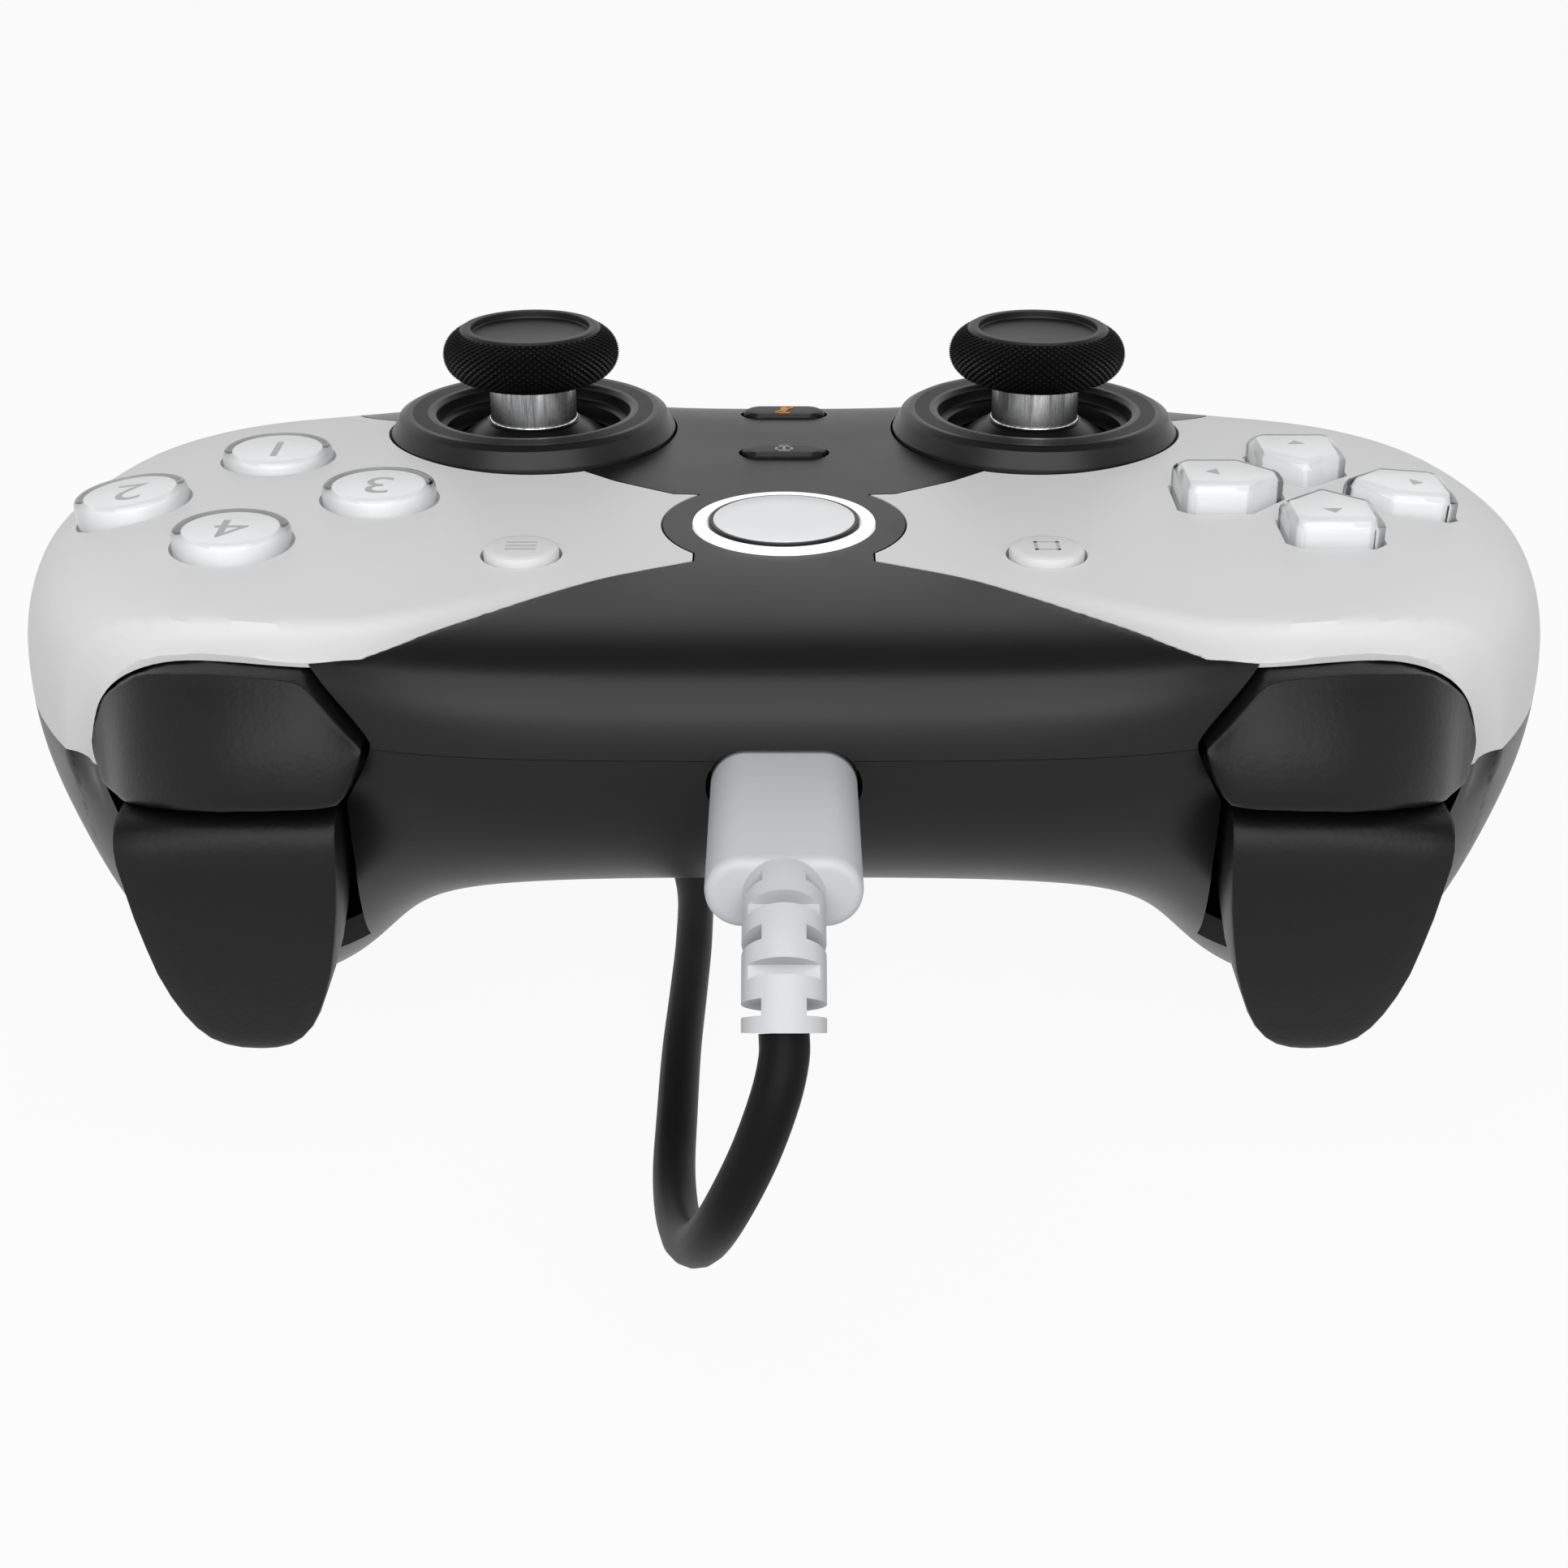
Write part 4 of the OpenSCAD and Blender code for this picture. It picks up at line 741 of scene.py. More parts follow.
class GAMEPAD_OT_cable(bpy.types.Operator):
    """Lays the cable from the strain relief to the coil, with its tie and its far plug"""

    bl_idname = "gamepad.cable"
    bl_label = "Cable"

    def execute(self, context):
        end_n = COIL_N + TAIL_N
        coil_steps = round(end_n * COIL_STEPS)
        coil = [coil_point(end_n * i / coil_steps) for i in range(coil_steps + 1)]
        tip = (coil[-1][0] + TAIL_END, coil[-1][1], coil[-1][2])
        route = smooth_route([*RUN, coil[0]], 5) + [Vector(p) for p in coil[1:]] + [Vector(tip)]
        begin()
        bpy.ops.curve.primitive_nurbs_path_add()
        cable = named("cable")
        curve = cable.data
        curve.splines.clear()
        spline = curve.splines.new("POLY")
        spline.points.add(len(route) - 1)
        for point, place in zip(spline.points, route):
            point.co = (*(place * MM), 1)
        curve.bevel_depth = sizes().cord_diameter / 2
        curve.bevel_resolution = 5
        curve.use_fill_caps = True
        spline.use_smooth = True
        finish_piece(cable, cord_jacket, "cord_jacket", "shell", "cable_run", "cable_coil")
        extras = [self.tie(), *self.far_plug(tip)]
        return {"FINISHED"}

    def tie(self):
        """Hook tape wrapped once round the coil, with its overlap."""
        low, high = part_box("coil_tie")
        low, high = low / MM, high / MM
        corner, thick = 2.5, 0.6
        flap_size, flap_inset, flap_drop = (13, 0.7), 0.4, 0.55
        outline = []
        for x, z, start in ((high.x, high.z, 0), (low.x, high.z, 90), (low.x, low.z, 180),
                            (high.x, low.z, 270)):
            cx = x - corner if x == high.x else x + corner
            cz = z - corner if z == high.z else z + corner
            for k in range(7):
                a = math.radians(start + 15 * k)
                outline.append((cx + corner * math.cos(a), cz + corner * math.sin(a)))
        inner = grown(outline, -thick)
        rings = [[(x, y, z) for x, z in ring] for ring, y in
                 ((outline, low.y), (outline, high.y), (inner, high.y), (inner, low.y), (outline, low.y))]
        band = loft("coil_tie_band", rings)
        flap = front_plate("tie_flap", pill(*flap_size), low.y + flap_inset, high.y - flap_inset)
        moved(flap, Matrix.Translation(at((low.x + high.x) / 2, 0, high.z - flap_drop)))
        band = joined("coil_tie_band", band, flap)
        smooth(band)
        return finish_piece(band, hook_tape, "tie_band", "shell", "coil_tie")

    def far_plug(self, tip):
        """Far plug: overmoulded body with a waist and finger ribs, and a folded metal shell."""
        stations = ((0.05, 5.6, 5.6, 2.8), (1.2, 6, 6, 3), (7.4, 6, 6, 3), (8.2, 9.4, 7, 3),
                    (10, 13.4, 7.7, 2.6), (13, 15.1, 7.8, 2.3), (22.4, 15.2, 7.8, 2.2),
                    (23.5, 14.8, 7.5, 2), (24, 14, 7, 1.8))
        rings = []
        for x, width, height, corner in stations:
            ring = []
            for k in range(48):
                a = 2 * math.pi * (k + 0.5) / 48
                across = math.copysign(max(width / 2 - corner, 0), math.cos(a)) + corner * math.cos(a)
                up = math.copysign(max(height / 2 - corner, 0), math.sin(a)) + corner * math.sin(a)
                ring.append((tip[0] + x, tip[1] + across, tip[2] + up))
            rings.append(ring)
        body = loft("far_plug_body", rings)
        rib_start, rib_step, rib_z = 15, 1.7, 3.55
        for k in range(5):
            rib = plate("rib", pill(9, 0.9, 16), 0, 0.5)
            place = Matrix.Translation(at(tip[0] + rib_start + rib_step * k, tip[1], tip[2] + rib_z))
            moved(rib, place @ Matrix.Rotation(math.pi / 2, 4, "Z"))
            body = joined("far_plug_body", body, rib)
        finish_piece(smooth(body), overmould, "pale_overmould", "shell", "far_plug")
        low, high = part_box("far_plug_shell")
        low, high = low / MM, high / MM
        across, up = (low.y + high.y) / 2, (low.z + high.z) / 2
        wide, tall = high.y - low.y, high.z - low.z
        thick, floor_x, core, least = 0.35, low.x + 2, 2.2, 0.05
        tube = [(low.x, 0.0), (high.x, 0.0), (high.x, thick), (floor_x, thick), (floor_x, core)]
        outline = [(-1, -1), (1, -1), (1, 1), (-1, 1)]
        rings = []
        for x, deep in tube:
            half_y, half_z = wide / 2 - deep, max(tall / 2 - deep, least)
            rings.append([(x, across + sy * half_y, up + sz * half_z) for sy, sz in outline])
        shell = loft("far_plug_metal", rings)
        slots = []
        slot_off, near, far, half = 2.9, high.x - 7, high.x - 4.6, 1.1
        for middle in (across - slot_off, across + slot_off):
            corners = [(near, middle - half), (far, middle - half),
                       (far, middle + half), (near, middle + half)]
            slots.append(plate("slot", corners, low.z - 1, high.z + 1))
        cut(shell, joined("slots", *slots))
        modify(shell, "BEVEL", width=0.00012, segments=2, limit_method="ANGLE")
        finish_piece(smooth(shell), brushed_steel, "steel", "shell", "far_plug_shell")
        return [body, shell]


def seam_prism(name, drop):
    """Everything above the joint line between top and bottom: higher in the middle, lower at the sides."""
    step = 0.02
    rings = []
    for x, front in ((-FAR, SIDE_SEAM_Z), (-CENTRE_HALF - step, SIDE_SEAM_Z), (-CENTRE_HALF, SEAM_Z),
                     (CENTRE_HALF, SEAM_Z), (CENTRE_HALF + step, SIDE_SEAM_Z), (FAR, SIDE_SEAM_Z)):
        line = [(-FAR, front), *[(y, front if z is None else z) for y, z in GRIP_SEAM]]
        rings.append([(x, y, z - drop) for y, z in line] + [(x, FAR, FAR), (x, -FAR, FAR)])
    return loft(name, rings)


def wing_prism(name, grow):
    """Upright prism of the wing on the +X side in plan."""
    line = [*rounded(WING_FRONT), WING_TIP, (WING_TIP[0], -FAR), (FAR, -FAR), (FAR, FAR), (44, FAR),
            *rounded(WING_BACK), *WING_INNER]
    prism = plate(name, grown(line, grow), UNDER, OVER)
    cut(prism, plate("neck", circle(NECK_R - grow, 96, *HOME_AT), UNDER - 10, OVER + 10))
    return cut(prism, plate("collar", circle(COLLAR_HOLE_R - grow, 96, *STICK_AT), UNDER - 10, OVER + 10))


def pocket_prism(name, edge):
    """Opening for the bumper and the trigger on the +X side."""
    return front_plate(name, [*POCKET_INNER, *rounded(edge, 2), POCKET_FOOT], -FAR, POCKET_BACK)


def lip_prism(name):
    """Upright prism in front of the wing's lip over the bumper."""
    edge = [(x, y) for x, y, _ in WING_EDGE if LIP_X[0] < x < LIP_X[1]]
    end_x, end_y, low = 61.3, edge[-1][1] + 0.25, 30
    return plate(name, [*rounded(edge), (end_x, end_y), (end_x, -FAR), (edge[0][0], -FAR)], low, OVER)


def wedge_prism(name, gap):
    """Upright prism of the cover's corner between the tip of the wing and the bumper."""
    (x0, y0, _), (x1, y1, _) = [spot for spot in WING_EDGE if WEDGE_X[0] < spot[0] < WEDGE_X[1]]
    return plate(name, [(x0 - 1, y0 - gap), (x1, y1 - gap), (x1, -FAR), (x0 - 1, -FAR)], 0, OVER)


def button_place(index):
    """Place of a face button: the one at the side sits lower and leans with the face."""
    pitch = 12.4
    steps = ((0, pitch, -0.4, 0), (-pitch, 0, 0.2, -7), (pitch, 0, -0.55, 0), (0, -pitch, -0.3, 0))
    x, y, drop, lean = steps[index]
    place = Matrix.Translation(at(-CLUSTER_AT[0] + x, CLUSTER_AT[1] + y, FACE - drop))
    return place @ Matrix.Rotation(math.radians(lean), 4, "Y")


def key_place(index):
    """Place of a direction key, whose own +X points outwards."""
    pitch = 8.4
    rows = ((0, -pitch, -0.4, 0, -90), (0, pitch, -0.85, 0, 90), (pitch, 0, 0, 4, 0),
            (-pitch, 0, -1, 0, 180))
    x, y, drop, lean, turn = rows[index]
    place = Matrix.Translation(at(CLUSTER_AT[0] + x, CLUSTER_AT[1] + y, FACE - drop))
    return place @ Matrix.Rotation(math.radians(lean), 4, "Y") @ Matrix.Rotation(math.radians(turn), 4, "Z")


def key_outline():
    """Outline of a direction key: square at the outer end, blunt point at the inner end."""
    return [(4.15, 4.6), (5.3, 3.45), (5.3, -3.45), (4.15, -4.6), (-1.62, -4.6), (-5.3, -0.6),
            (-5.3, 0.6), (-1.62, 4.6)]


class GAMEPAD_OT_shells(bpy.types.Operator):
    """Models the body as one smooth hollow skin and cuts it into wings, centre cover and bottom shell"""

    bl_idname = "gamepad.shells"
    bl_label = "Shells"

    def execute(self, context):
        body = self.hollow_body()
        half_seam = sizes().seam / MM / 2
        menu_r, button_r, ring_r, socket_r = 3.9, 6.0, 9.1, 3.15
        key_gap, slot_size, recess_size = 0.3, (9.6, 4.2), (13.8, 7.1)
        recess_back, socket_z, slot_low, hard_edge = -46.5, 33, 30, 32
        upper_wing = cut(wing_prism("wing", -half_seam), seam_prism("seam", 0), "INTERSECT")
        wing = cut(copied(body, "left_wing_shell"), upper_wing, "INTERSECT")
        cut(wing, joined("holes", pocket_prism("pocket", POCKET),
                         plate("menu", circle(menu_r, 64, *MENU_AT), 0, OVER)))
        cut(wing, lip_prism("lip"))
        other = mirrored(wing, "right_wing_shell")
        self.cut_four(wing, grown(key_outline(), key_gap), key_place)
        self.cut_four(other, circle(button_r, 96), button_place)
        cover = cut(copied(body, "centre_cover_shell"), seam_prism("seam", 0), "INTERSECT")
        prism = cut(wing_prism("wing", half_seam), wedge_prism("wedge", half_seam))
        cut(cover, joined("wings", mirrored(prism, "other_wing"), prism))
        pocket = pocket_prism("pocket", COVER_POCKET)
        recess_line = [(x, z + PLUG_Z) for x, z in pill(*recess_size, 48)]
        recess = front_plate("recess", recess_line, -FAR, recess_back)
        shoulders = joined("shoulders", pocket, mirrored(pocket, "other_pocket"), recess)
        rounds = [plate("collar", circle(COLLAR_HOLE_R, 128, side * STICK_AT[0], STICK_AT[1]), 0, OVER)
                  for _, side in SIDES]
        rounds.append(plate("ring", circle(ring_r, 96, *HOME_AT), 0, OVER))
        for y in (SHARE_Y, MUTE_Y):
            slot_line = [(px, y + py) for px, py in pill(*slot_size, 48)]
            rounds.append(plate("slot", slot_line, slot_low, OVER))
        cut(cover, joined("openings", copied(shoulders, "front"), *rounds))
        bottom = cut(body, seam_prism("seam", sizes().under_seam / MM))
        socket = front_plate("socket", [(x, z + socket_z) for x, z in circle(socket_r, 48)], 10, 60)
        cut(bottom, joined("openings", shoulders, socket))
        bottom.name = "bottom_shell_skin"
        for piece, make, slot, node in (
                (wing, pale_abs, "pale_shell", "left_wing"), (other, pale_abs, "pale_shell", "right_wing"),
                (cover, black_abs, "black_cover", "center_cover"),
                (bottom, checkered_abs, "black_shell", "bottom_shell")):
            finish_piece(smooth(piece, hard_edge), make, slot, "shell", node)
        return {"FINISHED"}

    def cut_four(self, wing, outline, place):
        """Cuts the holes of a cluster of four buttons into a wing."""
        reach = 8
        holes = [moved(plate("hole", outline, -reach, reach), place(i)) for i in range(4)]
        cut(wing, joined("holes", *holes))

    def hollow_body(self):
        """Smooth skin over the control sections with an inner skin one wall below it."""
        rings = [[(-x, y, z) for y, z in corners] for x, corners in reversed(SECTIONS[1:])]
        rings += [[(x, y, z) for y, z in corners] for x, corners in SECTIONS]
        outer = loft("body", rings)
        inner = copied(outer, "inner")
        modify(outer, "SUBSURF", levels=4, render_levels=4)
        modify(inner, "SUBSURF", levels=3, render_levels=3)
        self.flattened(outer, 0)
        self.crease(outer)
        edit(inner)
        bpy.ops.transform.shrink_fatten(value=-sizes().wall)
        leave()
        self.flattened(inner, sizes().wall)
        edit(inner)
        bpy.ops.mesh.flip_normals()
        leave()
        return joined("body", outer, inner)

    def flattened(self, skin, height):
        """Cuts the underside of the grips flat."""
        edit(skin)
        bpy.ops.mesh.bisect(plane_co=(0, 0, height), plane_no=(0, 0, 1), use_fill=True, clear_inner=True)
        leave()

    def crease(self, skin):
        """Raises a low crest and hollows the band before it, so that the wing breaks above its lip."""
        line, edge = self.tree(CREASE), self.tree(WING_EDGE)
        crest, reach = 0.3 * MM, 8 * MM
        inner_x, back_y, low_z = 14 * MM, -22 * MM, 31 * MM
        fade_from_x, fade_x, fade_z = 16 * MM, 22 * MM, 4 * MM
        for vertex in skin.data.vertices:
            spot = Vector((abs(vertex.co.x), vertex.co.y, vertex.co.z))
            if spot.x < inner_x or spot.y > back_y or spot.z < low_z:
                continue
            from_line, _, gap = line.find(spot)
            to_edge, _, rest = edge.find(spot)
            across = to_edge - from_line
            if gap > reach or (spot - to_edge).dot(across) >= 0:
                continue
            if (spot - from_line).dot(across) <= 0:
                rise = crest * max(0.0, 1 - gap / reach) ** 2
            else:
                share = gap / (gap + rest)
                rise = crest * (1 - share) - sizes().crease_depth * 4 * share * (1 - share)
            fade = ease((spot.x - fade_from_x) / fade_x) * ease((spot.z - low_z) / fade_z)
            vertex.co += vertex.normal * rise * fade

    def tree(self, points):
        """Search tree over a line of points in millimetres, filled up to a fine step."""
        line = [p * MM for p in smooth_route(points, 40)]
        tree = kdtree.KDTree(len(line))
        for i, point in enumerate(line):
            tree.insert(point, i)
        tree.balance()
        return tree


def shoulder_pair(kind, part, rings):
    """Models a bumper or a trigger over its rings on the left, and mirrors it to the right."""
    left = smooth(loft(f"left_{kind}_{part}", rings), 30)
    right = mirrored(left, f"right_{kind}_{part}")
    for name, piece in (("left", left), ("right", right)):
        finish_piece(piece, leather_grain_abs, "black_trim", f"{name}_{kind}", f"{name}_{kind}")


class GAMEPAD_OT_bumpers(bpy.types.Operator):
    """Models the bumpers: a gently domed face with a crisp edge, and plain walls behind it"""

    bl_idname = "gamepad.bumpers"
    bl_label = "Bumpers"

    def execute(self, context):
        # Distance from the middle, then depth and height of the low edge and of the high edge
        stations = ((37.3, -50.6, 43.2, -50.5, 43.7), (37.5, -50.9, 42.2, -50.4, 44),
                    (38.2, -51.6, 40.5, -50.3, 44.8), (38.9, -52.1, 39.4, -50.2, 45.6),
                    (39.5, -52.4, 38.9, -50.1, 46.3), (40.5, -52.6, 38.75, -49.8, 47.4),
                    (41.5, -52.8, 38.7, -49.4, 48.4), (42.3, -52.9, 38.7, -49, 49),
                    (43, -53, 38.7, -48.8, 49.3), (44, -53, 38.7, -48.6, 49.45),
                    (46, -53, 38.6, -48.2, 49.5), (48, -52.8, 38.5, -47.8, 49.5),
                    (49.9, -52.5, 38.3, -47.3, 49.45), (51.8, -51.9, 38.1, -46.7, 49.3),
                    (53.7, -51.1, 37.8, -46, 49), (55.3, -50.1, 37.5, -45.4, 48.8),
                    (56.9, -49, 37.1, -44.7, 48.45), (58.3, -47.7, 36.7, -43.9, 47.95),
                    (59.6, -46.2, 36.2, -43, 46.9), (60.6, -44.7, 35.8, -42, 46.15),
                    (61.5, -43, 35.5, -41, 45.3), (62.4, -41.3, 35.1, -39.8, 44.25),
                    (63.1, -40.1, 34.9, -38.9, 43.3), (63.8, -39.2, 35, -38.2, 41.75),
                    (64.2, -38.5, 35.6, -37.9, 40.7), (64.45, -38.1, 36.6, -37.8, 40),
                    (64.55, -37.9, 37.6, -37.8, 39))
        lip_line = [(x, y) for x, y, _ in WING_EDGE]
        clearance, swing_shift = 0.15, 0.4
        back_y, back_step, corner_x, corner_width = -41, 4.2, 59.2, 1.4
        edge_r, edge_share, soft_r, soft_share = 0.3, 0.2, 0.9, 0.3
        rings = []
        for x, low_y, low, high_y, high in stations:
            back = back_y + back_step * ease((x - corner_x) / corner_width)
            edge = min(edge_r, (high - low) * edge_share)
            soft = min(soft_r, (high - low) * soft_share)
            ring = [(x, back, low), (x, max(min(low_y + 2.4 * soft, back), low_y + soft), low),
                    (x, low_y + soft, low), (x, low_y + 0.3 * soft, low + 0.2 * soft),
                    (x, low_y + 0.05 * soft, low + 0.55 * soft)]
            for k in range(13):
                t = k / 12
                ring.append((x, low_y + (high_y - low_y) * t ** 1.8,
                             low + soft + (high - low - soft - edge) * t))
            ring += [(x, high_y + 0.12 * edge, high - 0.6 * edge),
                     (x, high_y + 0.5 * edge, high - 0.15 * edge), (x, high_y + edge, high)]
            lip = max(height_over(lip_line, x) - clearance, high_y + edge + 0.1)
            top = min(high + 0.1, height_over(POCKET_ROOF, x + swing_shift) - clearance)
            ring += [(x, lip - 0.05, top), (x, max(back, lip + 0.1), top)]
            rings.append(ring)
        shoulder_pair("bumper", "key", rings)
        return {"FINISHED"}


class GAMEPAD_OT_triggers(bpy.types.Operator):
    """Models the triggers: a tongue with a crisp edge, a rounded ridge on top and a round tip"""

    bl_idname = "gamepad.triggers"
    bl_label = "Triggers"

    def execute(self, context):
        # Height, inner edge, outer edge, front of the face, rear
        stations = ((11.4, 48.7, 50.1, -47.4, -46.2), (11.6, 47.5, 51.6, -47.6, -45.8),
                    (12.1, 46.3, 52.8, -47.9, -45.4), (13, 45.2, 54, -48.3, -45.1),
                    (14.4, 44.1, 55.1, -48.7, -44.8), (16.2, 43.2, 56, -49.2, -44.5),
                    (18.6, 42.3, 56.9, -49.8, -44.2), (21.4, 41.5, 57.7, -50.4, -43.8),
                    (24.6, 40.9, 58.3, -51, -43.3), (28, 40.4, 58.9, -51.5, -42.7),
                    (31.4, 40.1, 59.4, -51.8, -42.3), (34, 40, 59.9, -51.7, -42.2),
                    (35.4, 40, 60.1, -51.3, -42.2), (36.4, 40, 60.2, -50.6, -42.2),
                    (37, 40, 60.3, -49.6, -42.2), (37.3, 40, 60.3, -48.4, -42.3),
                    (37.35, 40.2, 60.1, -47, -42.6))
        crown_height, crown_width, edge_r = 0.35, 20, 0.4
        ridge_fall, ridge_x, tip_z, tall = 0.12, 48.8, 11.4, 26
        rings = []
        for z, inner, outer, front, rear in stations:
            wide = outer - inner
            edge = min(edge_r, wide * 0.15, (rear - front) * 0.25)
            ring = [(inner, rear, z), (inner, front + edge, z), (inner + edge * 0.3, front + edge * 0.3, z)]
            for k in range(9):
                t = k / 8
                crown = crown_height * (1 - (2 * t - 1) ** 2) * wide / crown_width
                ring.append((inner + edge + (wide - 2 * edge) * t, front - crown, z))
            ring += [(outer - edge * 0.3, front + edge * 0.3, z),
                     (outer, front + edge, z), (outer, rear, z)]
            rings.append([(px, py, pz - ridge_fall * max(0, px - ridge_x) * (pz - tip_z) / tall)
                          for px, py, pz in ring])
        shoulder_pair("trigger", "tongue", rings)
        return {"FINISHED"}


class GAMEPAD_OT_sticks(bpy.types.Operator):
    """Models collar, dome, stem and knurled cap of each stick"""

    bl_idname = "gamepad.sticks"
    bl_label = "Sticks"

    def execute(self, context):
        for name, side in SIDES:
            x, y = side * STICK_AT[0], STICK_AT[1]
            collar = lathe(f"{name}_collar_ring", self.collar_profile(), x, y, FACE, 128)
            finish_piece(smooth(collar, 24), collar_abs, "black_cover", "shell", f"{name}_stick_collar")
            flat_ring = [(11.4, 3.0), (13.0, 3.0), (13.0, 3.11), (11.4, 3.11)]
            stipple = lathe(f"{name}_collar_stipple", flat_ring, x, y, FACE, 128)
            finish_piece(stipple, stippled_abs, "black_cover", "shell")
            dome = lathe(f"{name}_dome_skirt", self.dome_profile(), x, y, TILT_Z, 96)
            finish_piece(smooth(dome, 30), black_abs, "black_trim", f"{name}_stick", f"{name}_stick_dome")
            stem = lathe(f"{name}_stem_tube", self.stem_profile(), x, y, 0, 96)
            finish_piece(smooth(stem, 30), brushed_steel, "steel", f"{name}_stick", f"{name}_stick_stem")
            cap = self.cap(f"{name}_cap_grip", x, y)
            finish_piece(cap, rubber, "black_rubber", f"{name}_stick", f"{name}_stick_cap")
        return {"FINISHED"}

    def arc(self, radius, angles):
        """Points of an arc at angles in degrees."""
        turns = [math.radians(a) for a in angles]
        return [(radius * math.cos(a), radius * math.sin(a)) for a in turns]

    def collar_profile(self):
        """Cone, chamfer and flat top outside, then a rounded lip and a bowl with a ledge."""
        lip = [(11.0 - u, 2.5 + v) for v, u in self.arc(0.6, range(0, 91, 15))]
        under = [(u, v + TILT_Z - FACE) for u, v in self.arc(12.4, (45.2, 40, 35, 30))]
        return [(15.3, -3.6), (15.4, 0.6), (15.35, 1.0), (15.2, 1.15), (14.55, 2.55), (14.45, 2.68),
                (14.3, 2.74), (13.75, 3.06), (13.6, 3.1), (13.4, 3.1), *lip, (10.4, 1.7), (10.3, 1.4),
                (9.75, 1.25), (9.55, 1.1), (9.45, 0.6), (9.35, -0.25), *under, (11.2, -3.6)]

    def dome_profile(self):
        """Skirt that flares from the stem down into the bowl, on a sphere round the tilt centre."""
        outer, inner = self.arc(12, range(24, 67, 6)), self.arc(11, range(66, 23, -6))
        return outer + [(5.0, 11.06), (4.82, 11.08), (4.82, 10.2)] + inner

    def stem_profile(self):
        """Tube with a thin rolled rim at its foot."""
        return [(0, 55.1), (4.76, 55.1), (4.8, 55.16), (4.76, 55.24), (4.66, 55.3), (4.64, 55.4),
                (4.64, 59.4), (0, 59.4)]

    def cap(self, name, x, y):
        """Rubber cap: diamonds round its bulge, a flat rim and a shallow dish."""
        middle_r, middle_z, wide, tall = 6.2, 62.35, 3.3, 2.85
        rows, count = 23, 2 * sizes().knurl_count
        lowest, swept = -78, 144
        scale = sizes().cap_radius / MM / (middle_r + wide)
        height = sizes().knurl_height / MM
        profile = [(0, 59.5, 0), (4.9, 59.5, 0), (6.2, 59.52, 0)]
        for k in range(rows):
            a = math.radians(lowest + swept * k / (rows - 1))
            rise = height * ease(min(k, rows - 1 - k) / 1.5)
            profile.append((middle_r + wide * math.cos(a), middle_z + tall * math.sin(a),
                            rise if k % 2 else -rise))
        profile += [(7.38, 65.02, 0), (7.25, 65.14, 0), (7.05, 65.19, 0), (6.6, 65.2, 0),
                    (6.42, 65.17, 0), (6.35, 65.1, 0), (6.3, 64.6, 0), (6.2, 64.48, 0), (4.8, 64.4, 0),
                    (3.2, 64.34, 0), (1.5, 64.31, 0), (0, 64.3, 0)]
        rings = []
        for radius, z, rise in profile:
            ring = []
            for k in range(count):
                a = 2 * math.pi * k / count
                r = radius * scale - height / 2 * (rise != 0) + (rise if k % 2 else -rise) / 2
                ring.append((x + r * math.cos(a), y + r * math.sin(a), z))
            rings.append(ring)
        cap = loft(name, rings)
        edit(cap)
        bpy.ops.mesh.quads_convert_to_tris(quad_method="SHORTEST_DIAGONAL")
        leave()
        return smooth(cap, 12)


class GAMEPAD_OT_face_buttons(bpy.types.Operator):
    """Models the four face buttons: clear caps over white cores with plain numbers"""

    bl_idname = "gamepad.face_buttons"
    bl_label = "Face Buttons"

    def execute(self, context):
        radius = sizes().button_radius / MM
        rim = [(radius, 1.3), (radius - 0.06, 1.55), (radius - 0.2, 1.76), (radius - 0.42, 1.9),
               (radius - 0.75, 1.96)]
        cap_profile = [(0, -3.8), (radius + 0.5, -3.8), (radius + 0.5, -2.9), (radius, -2.85), *rim,
                       (2.5, 1.98), (0, 2.0)]
        core_profile = [(0, -3.6), (4.5, -3.6), (4.6, -3.5), (4.62, 1.0), (4.55, 1.13), (4.4, 1.2),
                        (0, 1.22)]
        number_tall, number_z = 5.2, 1.24
        facing_player = Matrix.Rotation(math.pi, 4, "Z")
        for i, name in enumerate(("south", "east", "west", "north")):
            place = button_place(i)
            cap = moved(lathe(f"{name}_clear_cap", cap_profile, steps=96), place)
            finish_piece(smooth(cap, 30), clear_acrylic, "clear_plastic", name, f"{name}_button")
            core = moved(lathe(f"{name}_white_core", core_profile, steps=64), place)
            finish_piece(smooth(core, 30), white_plastic, "white_plastic", name, f"{name}_core")
            mark = number_mark(f"{name}_number", str(i + 1), number_tall)
            moved(mark, place @ Matrix.Translation(at(0, 0, number_z)) @ facing_player)
            finish_piece(mark, grey_print, "grey_plastic", name)
        return {"FINISHED"}


def number_mark(name, text, tall):
    """Flat number, centred on the origin."""
    begin()
    bpy.ops.object.text_add()
    mark = bpy.context.object
    mark.data.body = text
    size_per_height, half_thick = 1.35, 0.00001
    mark.data.size = tall * MM * size_per_height
    mark.data.align_x = "CENTER"
    mark.data.align_y = "CENTER"
    mark.data.extrude = half_thick
    bpy.ops.object.convert(target="MESH")
    return named(name)


